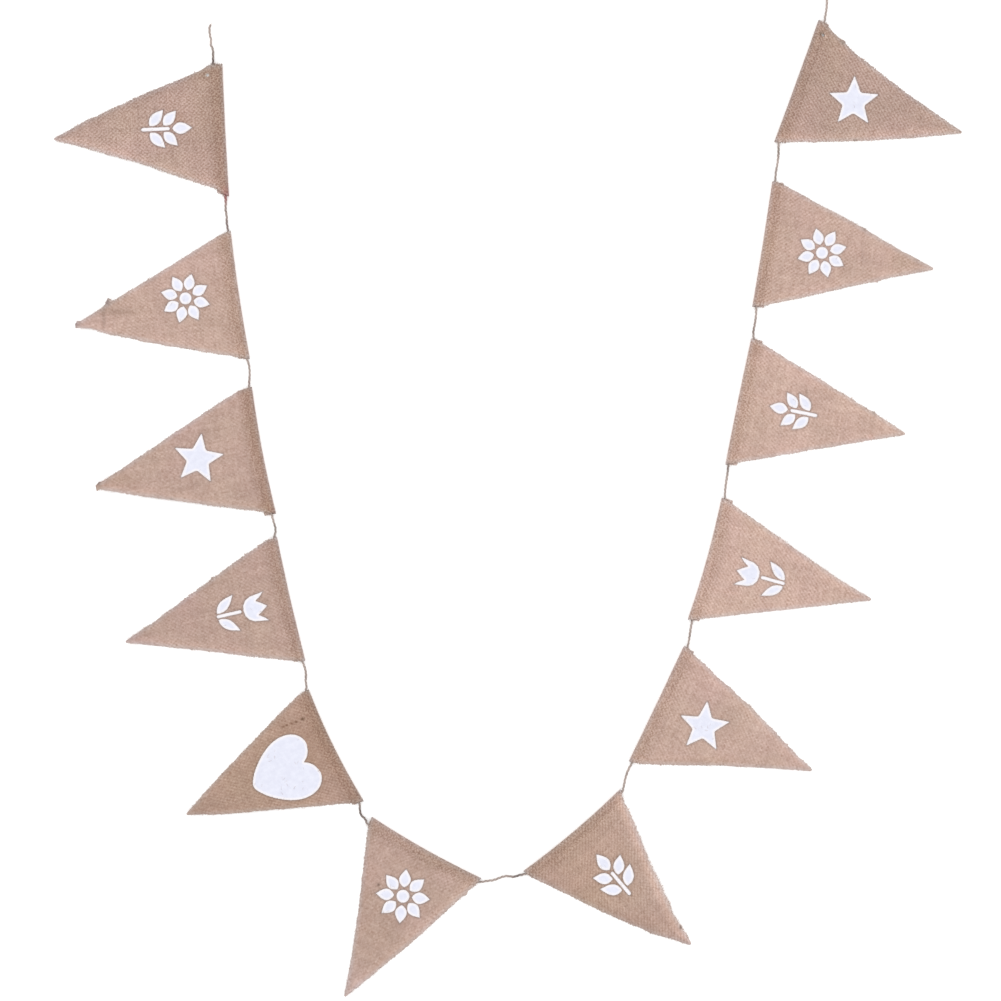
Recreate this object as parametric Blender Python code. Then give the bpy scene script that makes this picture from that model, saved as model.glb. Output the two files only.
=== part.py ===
"""A garland of twelve jute pennants on one twine, lying flat in a U.

Metres, +Z up, and the surface that it lies on is z = 0. Each pennant is one piece of cloth whose short
edge is folded under, and the twine runs through the fold. The plan's lengths are millimetres from its
upper left corner, x to the right and y down. The origin is the middle of the garland's box, at its base.
"""

import math
from collections import namedtuple

import bmesh
import bpy
from mathutils import Vector

MM = 0.001
PLAN_CENTRE = Vector((508.0, 491.2))  # the middle of the garland's box, in the plan

# The cloth and its hem, in millimetres.
CLOTH = 1.1
TWINE_RADIUS = 1.0
TWINE_CLEARANCE = 0.35
FOLD_RADIUS = TWINE_RADIUS + TWINE_CLEARANCE + CLOTH / 2  # round the twine, at the middle of the cloth
FOLD_CENTRE = FOLD_RADIUS + CLOTH / 2  # in from the fold's edge, and up from the surface
FLAP_WIDTH = 12.0
FLAP_GAP = 0.35
ON_SURFACE = CLOTH / 2  # height of the middle of a cloth that lies on the surface
OVER_FLAP = CLOTH * 1.5 + FLAP_GAP
OVER_TWINE = FOLD_CENTRE + FOLD_RADIUS
HOLE_RADIUS = 1.5
CUTTER_HEIGHT = 30.0

# The grid that a pennant is made of, from the flap's free edge round the fold to the tip.
COLUMNS = 6
FLAP_ROWS = (1.0, 0.5)  # shares of the flap's width
FOLD_STEPS = 5
PAST_TWINE = (1.7, 3.4, 5.1)  # where the cloth comes down from the twine to the flap
PAST_FLAP = 0.8
TO_SURFACE = 4.0
BODY_ROWS = (0.08, 0.2, 0.33, 0.46, 0.59, 0.71, 0.82, 0.92, 1.0)  # shares of the rest of the way
STATIONS = (0.0, 0.08, 0.25, 0.5, 0.8, 1.0)  # where a side's bow is given, as shares of the height
BOW_FADES = (20.0, 70.0)  # how far from the fold its bow still moves the cloth

# One row for each pennant, in order along the twine. start and end are the corners of the fold and tip
# is the point, all in the plan. twine_in and twine_out are the twine's distance from the fold at those
# corners. flap_start and flap_end are how far in from the corners the flap's free edge ends. fold_bow is
# how far the middle of the fold stands out from a straight one, and side_start and side_end say the same
# of the two cut sides, at the inner stations. Then come the width of the tip, its height, and the height
# and number of the waves in the cloth.
Pennant = namedtuple(
    "Pennant",
    "start end tip twine_in twine_out flap_start flap_end fold_bow side_start side_end"
    " tip_width tip_lift wave_height waves",
)
PENNANTS = (
    Pennant((222.9, 64.3), (229.5, 197.0), (54.5, 139.5), 9.5, 3.7, -1.5, 4.5, -0.6,
            (4.1, 3.4, 4.9, 3.9), (-4.4, -3.8, -4.4, -2.4), 1.6, 1.5, 1.6, 1.5),
    Pennant((231.1, 230.7), (250.3, 359.1), (76.3, 326.0), 2.9, 3.1, 3.6, 2.1, -1.3,
            (2.3, 1.8, 0.8, 1.1), (0.3, 1.1, 1.7, 1.2), 3.2, 6.0, 1.4, 2.0),
    Pennant((252.3, 386.5), (276.5, 514.0), (97.0, 487.0), 3.0, 4.6, 2.6, 0.8, -1.9,
            (3.7, 4.0, 2.5, 0.7), (-0.3, 0.5, 0.8, 1.2), 3.4, 7.0, 1.8, 1.5),
    Pennant((277.1, 536.4), (305.7, 660.7), (126.2, 641.7), 2.9, 3.1, 3.4, 1.5, -0.8,
            (3.4, 2.9, 2.1, -0.2), (1.1, 1.5, 0.4, 0.3), 1.6, 2.0, 1.4, 2.0),
    Pennant((308.9, 688.8), (364.1, 800.8), (187.0, 814.0), 3.1, 5.0, 2.4, 1.5, -2.8,
            (3.5, 4.0, 3.3, 2.1), (1.2, 1.4, 1.8, 2.3), 1.6, 1.5, 1.8, 1.5),
    Pennant((371.7, 816.0), (481.4, 877.8), (345.0, 996.0), 8.8, 4.3, 2.0, 2.4, -2.3,
            (1.6, 0.9, -1.0, -1.4), (1.2, 1.8, 3.0, 1.7), 1.6, 1.5, 1.6, 2.0),
    Pennant((523.0, 870.7), (619.9, 788.8), (690.5, 944.0), 3.7, 3.4, 2.8, 5.4, -2.3,
            (2.6, 3.8, 6.1, 5.6), (-1.5, -2.1, -3.9, -3.5), 2.0, 1.0, 2.2, 1.5),
    Pennant((628.4, 761.2), (683.9, 645.1), (811.3, 770.1), 3.8, 3.8, 3.0, 2.2, -0.2,
            (2.4, 1.4, -0.7, -0.8), (0.6, 0.6, 2.4, 0.3), 2.0, 1.0, 1.4, 2.0),
    Pennant((687.2, 619.7), (721.3, 497.5), (870.7, 599.4), 5.0, 3.3, 1.8, 0.0, -2.1,
            (0.8, 0.4, 0.5, 0.2), (0.4, 0.0, -1.6, -1.8), 1.6, 1.5, 1.6, 1.5),
    Pennant((725.0, 464.4), (750.9, 338.1), (904.8, 434.0), 3.3, 2.5, 1.6, 0.6, 0.4,
            (0.2, 0.2, -0.3, -0.2), (1.1, 1.1, 1.1, 1.3), 1.6, 1.0, 1.4, 2.0),
    Pennant((751.8, 307.2), (772.0, 181.2), (932.8, 268.9), 4.3, 2.9, 1.3, 0.1, -0.5,
            (1.3, 0.9, 0.0, -0.6), (2.4, 2.1, 1.8, 0.0), 1.6, 1.5, 1.6, 1.5),
    Pennant((773.6, 142.4), (818.2, 19.9), (961.3, 132.7), 5.1, 6.4, 3.9, 1.2, -0.4,
            (0.3, 1.9, 3.0, 1.9), (-0.2, -3.6, -4.2, -2.1), 1.6, 1.0, 1.4, 2.0),
)
HOLES = {0: (207.6, 75.3), 11: (822.9, 35.6)}  # the pennants with a hole, and where it is in the plan

# The twine's route outside the hems: places in the plan, and the height of its middle.
LEFT_END = (
    (210.4, 25.2, 1.2), (209.6, 28.0, 1.2), (210.1, 35.5, 1.2), (211.2, 40.1, 1.2),
    (210.9, 45.0, 1.2), (212.8, 49.0, 1.2), (213.2, 54.5, 1.5), (213.3, 60.5, 2.3),
)
GAPS = (
    ((226.0, 203.5, 2.1), (225.7, 209.0, 1.3), (226.8, 217.0, 1.2), (226.9, 223.0, 1.5),
     (227.8, 228.0, 2.3)),
    ((248.9, 364.0, 2.0), (249.8, 373.7, 1.2), (249.4, 381.5, 2.0)),
    ((273.7, 521.5, 1.9), (275.5, 528.5, 1.2), (275.3, 533.5, 2.0)),
    ((304.6, 666.5, 2.0), (306.0, 673.5, 1.2), (305.8, 681.0, 1.4), (306.6, 686.5, 2.2)),
    ((359.9, 808.5, 2.0), (361.2, 814.8, 1.2), (365.4, 819.0, 2.1)),
    ((486.5, 880.8, 1.9), (494.0, 879.8, 1.2), (500.0, 877.6, 1.2), (506.0, 875.9, 1.2), (514.0, 876.6, 1.3),
     (519.6, 874.8, 2.0)),
    ((623.9, 785.0, 1.9), (625.5, 777.5, 1.2), (628.3, 769.5, 1.7)),
    ((689.0, 639.0, 1.9), (690.0, 633.0, 1.2), (690.8, 627.0, 1.9)),
    ((725.0, 491.0, 2.0), (726.0, 482.5, 1.2), (727.3, 474.2, 1.2), (727.8, 468.8, 2.1)),
    ((753.2, 332.0, 2.0), (754.8, 323.5, 1.2), (755.9, 315.5, 1.3), (756.0, 311.0, 2.2)),
    ((775.7, 172.5, 2.0), (777.2, 164.5, 1.2), (778.2, 156.0, 1.2), (778.4, 148.5, 1.8)),
)
RIGHT_END = (
    (825.0, 16.8, 1.8), (826.2, 10.3, 1.2), (826.9, 1.0, 1.2), (827.4, -6.0, 1.2), (827.7, -14.0, 1.2),
)
IN_HEM = (0.0, 0.04, 0.35, 0.65, 0.96, 1.0)  # the route's places in a hem, as shares of its length
ROUTE_STEPS = 10
HEM_TOLERANCE = 0.14  # how far the tube's straight steps may leave the smooth route
OPEN_TOLERANCE = 0.6

BURLAP_COLOUR = (0.50, 0.35, 0.27, 1.0)
TWINE_COLOUR = (0.34, 0.27, 0.21, 1.0)


def world(plan_x, plan_y, height):
    """A place in the plan and a height, both in millimetres, as a place in the world."""
    return Vector((plan_x - PLAN_CENTRE.x, PLAN_CENTRE.y - plan_y, height)) * MM


def smooth(share):
    share = min(1.0, max(0.0, share))
    return share * share * (3 - 2 * share)


def between(stations, values, at):
    """The value at a place among the stations, along straight lines between them."""
    for low, high, first, last in zip(stations, stations[1:], values, values[1:]):
        if at <= high:
            return first + (last - first) * (at - low) / (high - low)
    return values[-1]


class Shape:
    """A pennant's plan: along is measured on the fold from its start, and out is the way to the tip."""

    def __init__(self, pennant):
        self.row = pennant
        self.corner = Vector(pennant.start)
        fold = Vector(pennant.end) - self.corner
        to_tip = Vector(pennant.tip) - self.corner
        self.length = fold.length
        self.along = fold.normalized()
        self.out = Vector((-self.along.y, self.along.x))
        if self.out.dot(to_tip) < 0:
            self.out.negate()
        self.height = to_tip.dot(self.out)
        self.tip_along = to_tip.dot(self.along)

    def plan(self, along, out):
        return self.corner + self.along * along + self.out * out

    def bowed(self, share, out):
        """The distance from the straight fold of what lies out from the bowed one."""
        fade = 1 - smooth((out - BOW_FADES[0]) / (BOW_FADES[1] - BOW_FADES[0]))
        return out - self.row.fold_bow * 4 * share * (1 - share) * fade

    def twine_out(self, share):
        return self.row.twine_in + (self.row.twine_out - self.row.twine_in) * share

    def cut_sides(self, out):
        """Where the two cut sides are, along the fold."""
        share = out / self.height
        half_tip = self.row.tip_width / 2
        start = share * (self.tip_along - half_tip)
        end = self.length - share * (self.length - self.tip_along - half_tip)
        start -= between(STATIONS, (0.0, *self.row.side_start, 0.0), share)
        end += between(STATIONS, (0.0, *self.row.side_end, 0.0), share)
        return start, end

    def flap_ends(self, out):
        share = out / FLAP_WIDTH
        return self.row.flap_start * share, self.length - self.row.flap_end * share

    def lift(self, share, out):
        """How high the cloth's own waves and its curled tip stand above its flat lie."""
        room = smooth((out - 25) / 40) * smooth((self.height - out) / 50)
        wave = 0.5 - 0.5 * math.cos(2 * math.pi * self.row.waves * share)
        curl = max(0.0, 1 - (self.height - out) / 28)
        return self.row.wave_height * wave * room + self.row.tip_lift * curl**2


def hem_height(out, bump_end):
    """Height of the middle of the upper cloth: over the twine, down to the flap, then to the surface."""
    bump_start = bump_end - PAST_TWINE[-1] + PAST_TWINE[0]
    from_twine = OVER_TWINE - (OVER_TWINE - OVER_FLAP) * smooth((out - bump_start) / (bump_end - bump_start))
    flap_end = max(FLAP_WIDTH, bump_end) + PAST_FLAP
    return ON_SURFACE + (from_twine - ON_SURFACE) * (1 - smooth((out - flap_end) / TO_SURFACE))


def section(shape, share):
    """Middle of the cloth in one column, as rows of out, height, the cloth's normal and what side it is of.

    The last value goes from 0 on the flap to 1 on the upper cloth.
    """
    rows = [(FLAP_WIDTH * part, ON_SURFACE, (0.0, -1.0), 0.0) for part in FLAP_ROWS]
    for step in range(FOLD_STEPS + 1):
        turned = step / FOLD_STEPS
        angle = math.pi * (1.5 - turned)
        normal = (math.cos(angle), math.sin(angle))
        rows.append(
            (FOLD_CENTRE + FOLD_RADIUS * normal[0], FOLD_CENTRE + FOLD_RADIUS * normal[1], normal, turned)
        )
    twine = shape.twine_out(share)
    bump_end = twine + PAST_TWINE[-1]
    flap_end = max(FLAP_WIDTH, bump_end) + PAST_FLAP
    outs = [twine + past for past in PAST_TWINE] + [flap_end, flap_end + TO_SURFACE]
    reach = shape.height - outs[-1]
    outs += [flap_end + TO_SURFACE + reach * part for part in BODY_ROWS]
    step = 0.5
    for out in outs:
        height = hem_height(out, bump_end)
        slope = (hem_height(out + step, bump_end) - hem_height(out - step, bump_end)) / (2 * step)
        steep = math.hypot(1.0, slope)
        rows.append((out, height + shape.lift(share, out), (-slope / steep, 1 / steep), 1.0))
    return rows


def surface_point(shape, share, row, side):
    """A point of the cloth's upper (side 1) or under (side -1) face."""
    out, height, normal, turned = row
    flap_start, flap_end = shape.flap_ends(out)
    cut_start, cut_end = shape.cut_sides(out)
    start = flap_start + (cut_start - flap_start) * turned
    end = flap_end + (cut_end - flap_end) * turned
    out = shape.bowed(share, out + normal[0] * side * CLOTH / 2)
    place = shape.plan(start + (end - start) * share, out)
    return world(place.x, place.y, height + normal[1] * side * CLOTH / 2)


def material(name, colour, roughness):
    made = bpy.data.materials.new(name)
    made.use_nodes = True
    shader = made.node_tree.nodes["Principled BSDF"]
    shader.inputs["Base Color"].default_value = colour
    shader.inputs["Roughness"].default_value = roughness
    shader.inputs["Metallic"].default_value = 0.0
    return made


def add_object(name, data, finish):
    data.materials.append(finish)
    made = bpy.data.objects.new(name, data)
    bpy.context.scene.collection.objects.link(made)
    return made


def make_pennant(name, shape, finish):
    """One closed cloth: its upper and under faces, and the rim that joins them all round."""
    shares = [column / COLUMNS for column in range(COLUMNS + 1)]
    sections = [section(shape, share) for share in shares]
    last_row = len(sections[0]) - 1
    mesh = bmesh.new()
    faces = {}
    for side in (1, -1):
        for column, share in enumerate(shares):
            for row, place in enumerate(sections[column]):
                faces[side, column, row] = mesh.verts.new(surface_point(shape, share, place, side))
        for column in range(COLUMNS):
            for row in range(last_row):
                corners = [(column, row), (column + 1, row), (column + 1, row + 1), (column, row + 1)]
                mesh.faces.new([faces[side, *corner] for corner in corners])
    rim = [(column, 0) for column in range(COLUMNS)]
    rim += [(COLUMNS, row) for row in range(last_row)]
    rim += [(column, last_row) for column in range(COLUMNS, 0, -1)]
    rim += [(0, row) for row in range(last_row, 0, -1)]
    for here, there in zip(rim, rim[1:] + rim[:1]):
        mesh.faces.new([faces[1, *here], faces[1, *there], faces[-1, *there], faces[-1, *here]])
    bmesh.ops.recalc_face_normals(mesh, faces=mesh.faces)
    data = bpy.data.meshes.new(name)
    mesh.to_mesh(data)
    mesh.free()
    return add_object(name, data, finish)


def cut_hole(cloth, plan_place):
    """A small round hole straight through the cloth."""
    mesh = bmesh.new()
    bmesh.ops.create_cone(
        mesh,
        cap_ends=True,
        segments=12,
        radius1=HOLE_RADIUS * MM,
        radius2=HOLE_RADIUS * MM,
        depth=CUTTER_HEIGHT * MM,
    )
    data = bpy.data.meshes.new("hole_cutter")
    mesh.to_mesh(data)
    mesh.free()
    cutter = bpy.data.objects.new("hole_cutter_" + cloth.name, data)
    cutter.location = world(*plan_place, 0.0)
    cutter.hide_render = True
    cutter.display_type = "WIRE"
    bpy.context.scene.collection.objects.link(cutter)
    cut = cloth.modifiers.new("hole", "BOOLEAN")
    cut.operation = "DIFFERENCE"
    cut.solver = "EXACT"
    cut.object = cutter


def in_hem(shape):
    """The route's places inside one hem."""
    places = []
    for share in IN_HEM:
        out = shape.twine_out(share)
        place = shape.plan(shape.length * share, shape.bowed(share, out))
        places.append((place.x, place.y, FOLD_CENTRE))
    return places


def twine_route(shapes):
    """The route's own places from end to end, and the numbers of those where a hem begins or ends."""
    route = list(LEFT_END)
    hem_ends = []
    for shape, gap in zip(shapes, (*GAPS, RIGHT_END)):
        hem_ends.append(len(route))
        route += in_hem(shape)
        hem_ends.append(len(route) - 1)
        route += gap
    return [Vector(place) for place in route], hem_ends


def smooth_curve(places, steps):
    """Points on the centripetal Catmull-Rom curve through the places."""
    padded = [places[0] * 2 - places[1], *places, places[-1] * 2 - places[-2]]
    points = [places[0]]
    for before, first, last, after in zip(padded, padded[1:], padded[2:], padded[3:]):
        near = math.sqrt((first - before).length)
        span = math.sqrt((last - first).length)
        far = math.sqrt((after - last).length)
        leave = (last - first) / span - (last - before) / (near + span) + (first - before) / near
        arrive = (after - last) / far - (after - first) / (span + far) + (last - first) / span
        for step in range(1, steps + 1):
            at = step / steps
            points.append(
                first * (2 * at**3 - 3 * at**2 + 1)
                + last * (3 * at**2 - 2 * at**3)
                + leave * span * (at**3 - 2 * at**2 + at)
                + arrive * span * (at**3 - at**2)
            )
    return points


def thinned(points, tolerance):
    """The fewest of the points whose straight joins stay within the tolerance of them all."""
    first, last = points[0], points[-1]
    line = (last - first).normalized()
    distances = [((point - first) - line * (point - first).dot(line)).length for point in points[1:-1]]
    if not distances or max(distances) <= tolerance:
        return [first, last]
    middle = distances.index(max(distances)) + 1
    return thinned(points[: middle + 1], tolerance)[:-1] + thinned(points[middle:], tolerance)


def twine_points(shapes):
    """Points of the smooth route, close enough in the hems to keep clear of the cloth."""
    route, hem_ends = twine_route(shapes)
    curve = smooth_curve(route, ROUTE_STEPS)
    ends = [0, *hem_ends, len(route) - 1]
    points = []
    for number, (first, last) in enumerate(zip(ends, ends[1:])):
        tolerance = HEM_TOLERANCE if number % 2 else OPEN_TOLERANCE
        points += thinned(curve[first * ROUTE_STEPS : last * ROUTE_STEPS + 1], tolerance)[:-1]
    return [*points, curve[-1]]


def make_twine(shapes, finish):
    points = twine_points(shapes)
    curve = bpy.data.curves.new("twine", "CURVE")
    curve.dimensions = "3D"
    curve.bevel_depth = TWINE_RADIUS * MM
    curve.bevel_resolution = 2
    curve.use_fill_caps = True
    spline = curve.splines.new("POLY")
    spline.points.add(len(points) - 1)
    for point, place in zip(spline.points, points):
        point.co = (*world(*place), 1.0)
    spline.use_smooth = True
    return add_object("twine", curve, finish)


def main():
    for old in list(bpy.data.objects):
        bpy.data.objects.remove(old)
    burlap = material("burlap", BURLAP_COLOUR, 0.95)
    jute = material("twine", TWINE_COLOUR, 0.9)
    shapes = [Shape(pennant) for pennant in PENNANTS]
    for index, shape in enumerate(shapes):
        cloth = make_pennant(f"flag_{index + 1:02d}", shape, burlap)
        if index in HOLES:
            cut_hole(cloth, HOLES[index])
    make_twine(shapes, jute)


main()
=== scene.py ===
"""Looks of the jute garland: woven cloth, stencilled motifs, twisted twine, and the photograph's camera.

The plan's lengths are millimetres, x to the right and y down, and world() turns a place in it into metres.
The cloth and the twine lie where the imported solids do, so their tables and curves are repeated from there.
"""

import math
import random
from collections import namedtuple

import bmesh
import bpy
from mathutils import Matrix, Vector, noise
from mathutils.geometry import delaunay_2d_cdt
from mathutils.kdtree import KDTree

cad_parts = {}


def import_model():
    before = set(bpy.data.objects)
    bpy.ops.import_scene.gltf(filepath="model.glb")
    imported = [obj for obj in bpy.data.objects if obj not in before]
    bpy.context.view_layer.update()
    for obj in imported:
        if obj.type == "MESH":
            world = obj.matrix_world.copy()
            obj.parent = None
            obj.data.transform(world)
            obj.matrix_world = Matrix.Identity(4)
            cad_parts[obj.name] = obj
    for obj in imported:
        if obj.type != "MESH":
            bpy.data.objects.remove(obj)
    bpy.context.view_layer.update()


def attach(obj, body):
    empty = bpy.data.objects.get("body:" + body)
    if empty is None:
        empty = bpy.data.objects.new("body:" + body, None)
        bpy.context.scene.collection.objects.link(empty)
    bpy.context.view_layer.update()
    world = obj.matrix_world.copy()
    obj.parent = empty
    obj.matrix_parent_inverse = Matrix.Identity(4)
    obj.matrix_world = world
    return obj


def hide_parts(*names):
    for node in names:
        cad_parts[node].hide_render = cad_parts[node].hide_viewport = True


def table(columns, *rows):
    """Rows of values under named columns."""
    row_type = namedtuple("Row", columns)
    return [row_type(*row) for row in rows]


MM = 0.001
PLAN_CENTRE = Vector((508.0, 491.2))  # the middle of the garland's box, in the plan
PHOTO_CENTRE = Vector((500.5, 500.5))
PHOTO_WIDTH = 1001.0
LENS = 100.0
SENSOR = 36.0
FLOOR_HALF = 4.0
FLOOR_TOP = -0.0002

# The cloth and its hem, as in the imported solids.
CLOTH = 1.1
TWINE_RADIUS = 1.0
TWINE_CLEARANCE = 0.35
FOLD_RADIUS = TWINE_RADIUS + TWINE_CLEARANCE + CLOTH / 2
FOLD_CENTRE = FOLD_RADIUS + CLOTH / 2
FLAP_WIDTH = 12.0
FLAP_GAP = 0.35
ON_SURFACE = CLOTH / 2
OVER_FLAP = CLOTH * 1.5 + FLAP_GAP
OVER_TWINE = FOLD_CENTRE + FOLD_RADIUS
HOLE_RADIUS = 1.5
PAST_TWINE = (1.7, 5.1)  # where the cloth starts down past the twine's middle, and where it is down
PAST_FLAP = 0.8  # how far past the flap's edge it starts down to the surface
TO_SURFACE = 4.0
STATIONS = (0.0, 0.08, 0.25, 0.5, 0.8, 1.0)  # the shares of the height where the cut sides are given
FLAP_LENGTH = FLAP_WIDTH - FOLD_CENTRE
FOLD_LENGTH = math.pi * FOLD_RADIUS
# Where the fold's bow starts to fade and the waves and the unevenness start to grow, out from the fold, and
# over what length.
BOW_FADES = (20.0, 50.0)
WAVES_GROW = (25.0, 40.0)
UNEVEN_GROWS = (16.0, 12.0)
# The length at the tip over which the waves end, and the one over which it curls up.
WAVES_END = 50.0
CURL_ENDS = 28.0
CREASE_FADE = 0.25  # the share of a crease over which each of its ends fades

# The weave, from one thread to the next: warp runs to the tip and weft runs along the fold.
WARP = 1.95
WEFT = 2.35
COLUMN = WARP / 2
ROW = WEFT / 2
# How far the cloth's faces lie below the crowns of the warp.
WEFT_CROWN = 0.08
BESIDE_THREAD = 0.17
IN_GAP = 0.30
HOLE_RIM = 0.60
HOLE_REACH = 0.6  # how much wider than the hole the grid is opened
# How deep the raw edges are bitten, how deep they are between two threads, how far their threads' ends start
# inside them, and how far inside them the grid ends.
BITE = 0.8
NOTCH = 0.3
END_INSIDE = 0.6
GRID_INSIDE = 0.4
NARROW = 8.0  # where the cloth is narrower, at the tip, its edges aren't bitten
# How far the threads stray from straight lines.
DRIFT = 0.9
FINE_DRIFT = 0.35
UNEVEN = 0.26
ENDS_HELD = 8.0  # over this length at the cloth's two ends they don't stray along it
# How far each pennant's stretch of cloth is from the one before, in threads, and where the first one starts.
NEXT_STRETCH = (212, 158)
FIRST_THREAD = 60
LEAST_RELIEF = 0.5  # the share of the faces' relief that is there however weak the weave shows
HEM_WEAVE = 0.25  # how much stronger the weave shows at the fold
MOST_WEAVE = 1.1
# A cloth's bake map: the length that fills its width and its height, and how wide its rim is drawn.
MAP_WIDTH = 300.0
MAP_HEIGHT = 200.0
MAP_MARGIN = 6.0
MAP_RIM = 0.8
LOWEST = 0.02  # no thread or fibre lies lower

# One row for each pennant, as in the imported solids: the fold's two ends and the tip, how far out the twine
# enters and leaves the hem, how far in the flap's two ends are, how far the fold is bowed, how far the cut
# sides stand out at the inner stations, the tip's width and lift, and the height and number of the waves.
PENNANTS = table(
    "start end tip twine_in twine_out flap_start flap_end fold_bow side_start side_end"
    " tip_width tip_lift wave_height waves",
    ((222.9, 64.3), (229.5, 197.0), (54.5, 139.5), 9.5, 3.7, -1.5, 4.5, -0.6,
     (4.1, 3.4, 4.9, 3.9), (-4.4, -3.8, -4.4, -2.4), 1.6, 1.5, 1.6, 1.5),
    ((231.1, 230.7), (250.3, 359.1), (76.3, 326.0), 2.9, 3.1, 3.6, 2.1, -1.3,
     (2.3, 1.8, 0.8, 1.1), (0.3, 1.1, 1.7, 1.2), 3.2, 6.0, 1.4, 2.0),
    ((252.3, 386.5), (276.5, 514.0), (97.0, 487.0), 3.0, 4.6, 2.6, 0.8, -1.9,
     (3.7, 4.0, 2.5, 0.7), (-0.3, 0.5, 0.8, 1.2), 3.4, 7.0, 1.8, 1.5),
    ((277.1, 536.4), (305.7, 660.7), (126.2, 641.7), 2.9, 3.1, 3.4, 1.5, -0.8,
     (3.4, 2.9, 2.1, -0.2), (1.1, 1.5, 0.4, 0.3), 1.6, 2.0, 1.4, 2.0),
    ((308.9, 688.8), (364.1, 800.8), (187.0, 814.0), 3.1, 5.0, 2.4, 1.5, -2.8,
     (3.5, 4.0, 3.3, 2.1), (1.2, 1.4, 1.8, 2.3), 1.6, 1.5, 1.8, 1.5),
    ((371.7, 816.0), (481.4, 877.8), (345.0, 996.0), 8.8, 4.3, 2.0, 2.4, -2.3,
     (1.6, 0.9, -1.0, -1.4), (1.2, 1.8, 3.0, 1.7), 1.6, 1.5, 1.6, 2.0),
    ((523.0, 870.7), (619.9, 788.8), (690.5, 944.0), 3.7, 3.4, 2.8, 5.4, -2.3,
     (2.6, 3.8, 6.1, 5.6), (-1.5, -2.1, -3.9, -3.5), 2.0, 1.0, 2.2, 1.5),
    ((628.4, 761.2), (683.9, 645.1), (811.3, 770.1), 3.8, 3.8, 3.0, 2.2, -0.2,
     (2.4, 1.4, -0.7, -0.8), (0.6, 0.6, 2.4, 0.3), 2.0, 1.0, 1.4, 2.0),
    ((687.2, 619.7), (721.3, 497.5), (870.7, 599.4), 5.0, 3.3, 1.8, 0.0, -2.1,
     (0.8, 0.4, 0.5, 0.2), (0.4, 0.0, -1.6, -1.8), 1.6, 1.5, 1.6, 1.5),
    ((725.0, 464.4), (750.9, 338.1), (904.8, 434.0), 3.3, 2.5, 1.6, 0.6, 0.4,
     (0.2, 0.2, -0.3, -0.2), (1.1, 1.1, 1.1, 1.3), 1.6, 1.0, 1.4, 2.0),
    ((751.8, 307.2), (772.0, 181.2), (932.8, 268.9), 4.3, 2.9, 1.3, 0.1, -0.5,
     (1.3, 0.9, 0.0, -0.6), (2.4, 2.1, 1.8, 0.0), 1.6, 1.5, 1.6, 1.5),
    ((773.6, 142.4), (818.2, 19.9), (961.3, 132.7), 5.1, 6.4, 3.9, 1.2, -0.4,
     (0.3, 1.9, 3.0, 1.9), (-0.2, -3.6, -4.2, -2.1), 1.6, 1.0, 1.4, 2.0),
)
HOLES = {0: (207.6, 75.3), 11: (822.9, 35.6)}

# The twine's route outside the hems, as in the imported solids.
LEFT_END = (
    (210.4, 25.2, 1.2), (209.6, 28.0, 1.2), (210.1, 35.5, 1.2), (211.2, 40.1, 1.2),
    (210.9, 45.0, 1.2), (212.8, 49.0, 1.2), (213.2, 54.5, 1.5), (213.3, 60.5, 2.3),
)
GAPS = (
    ((226.0, 203.5, 2.1), (225.7, 209.0, 1.3), (226.8, 217.0, 1.2), (226.9, 223.0, 1.5),
     (227.8, 228.0, 2.3)),
    ((248.9, 364.0, 2.0), (249.8, 373.7, 1.2), (249.4, 381.5, 2.0)),
    ((273.7, 521.5, 1.9), (275.5, 528.5, 1.2), (275.3, 533.5, 2.0)),
    ((304.6, 666.5, 2.0), (306.0, 673.5, 1.2), (305.8, 681.0, 1.4), (306.6, 686.5, 2.2)),
    ((359.9, 808.5, 2.0), (361.2, 814.8, 1.2), (365.4, 819.0, 2.1)),
    ((486.5, 880.8, 1.9), (494.0, 879.8, 1.2), (500.0, 877.6, 1.2), (506.0, 875.9, 1.2), (514.0, 876.6, 1.3),
     (519.6, 874.8, 2.0)),
    ((623.9, 785.0, 1.9), (625.5, 777.5, 1.2), (628.3, 769.5, 1.7)),
    ((689.0, 639.0, 1.9), (690.0, 633.0, 1.2), (690.8, 627.0, 1.9)),
    ((725.0, 491.0, 2.0), (726.0, 482.5, 1.2), (727.3, 474.2, 1.2), (727.8, 468.8, 2.1)),
    ((753.2, 332.0, 2.0), (754.8, 323.5, 1.2), (755.9, 315.5, 1.3), (756.0, 311.0, 2.2)),
    ((775.7, 172.5, 2.0), (777.2, 164.5, 1.2), (778.2, 156.0, 1.2), (778.4, 148.5, 1.8)),
)
RIGHT_END = (
    (825.0, 16.8, 1.8), (826.2, 10.3, 1.2), (826.9, 1.0, 1.2), (827.4, -6.0, 1.2), (827.7, -14.0, 1.2),
)
IN_HEM = (0.0, 0.04, 0.35, 0.65, 0.96, 1.0)
ROUTE_STEPS = 10

# The twine's own look.
PLY_REACH = 1.28  # how far the crowns of the plies stand from the twine's middle
RING_STEP = 0.8
RING_POINTS = 15
PLIES = 3
PLY_RADIUS = 0.464  # as a share of that reach
TWIST_LENGTH = 13.0
STRAND_MAP = 10.0  # the length of twine that fills its map once
WRAPPED_PLACE = (226.3, 199.0)  # where loose cloth threads wrap the twine
WRAPPED_REACH = 5.0
IN_HEM_HEIGHT = 2.0
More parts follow.
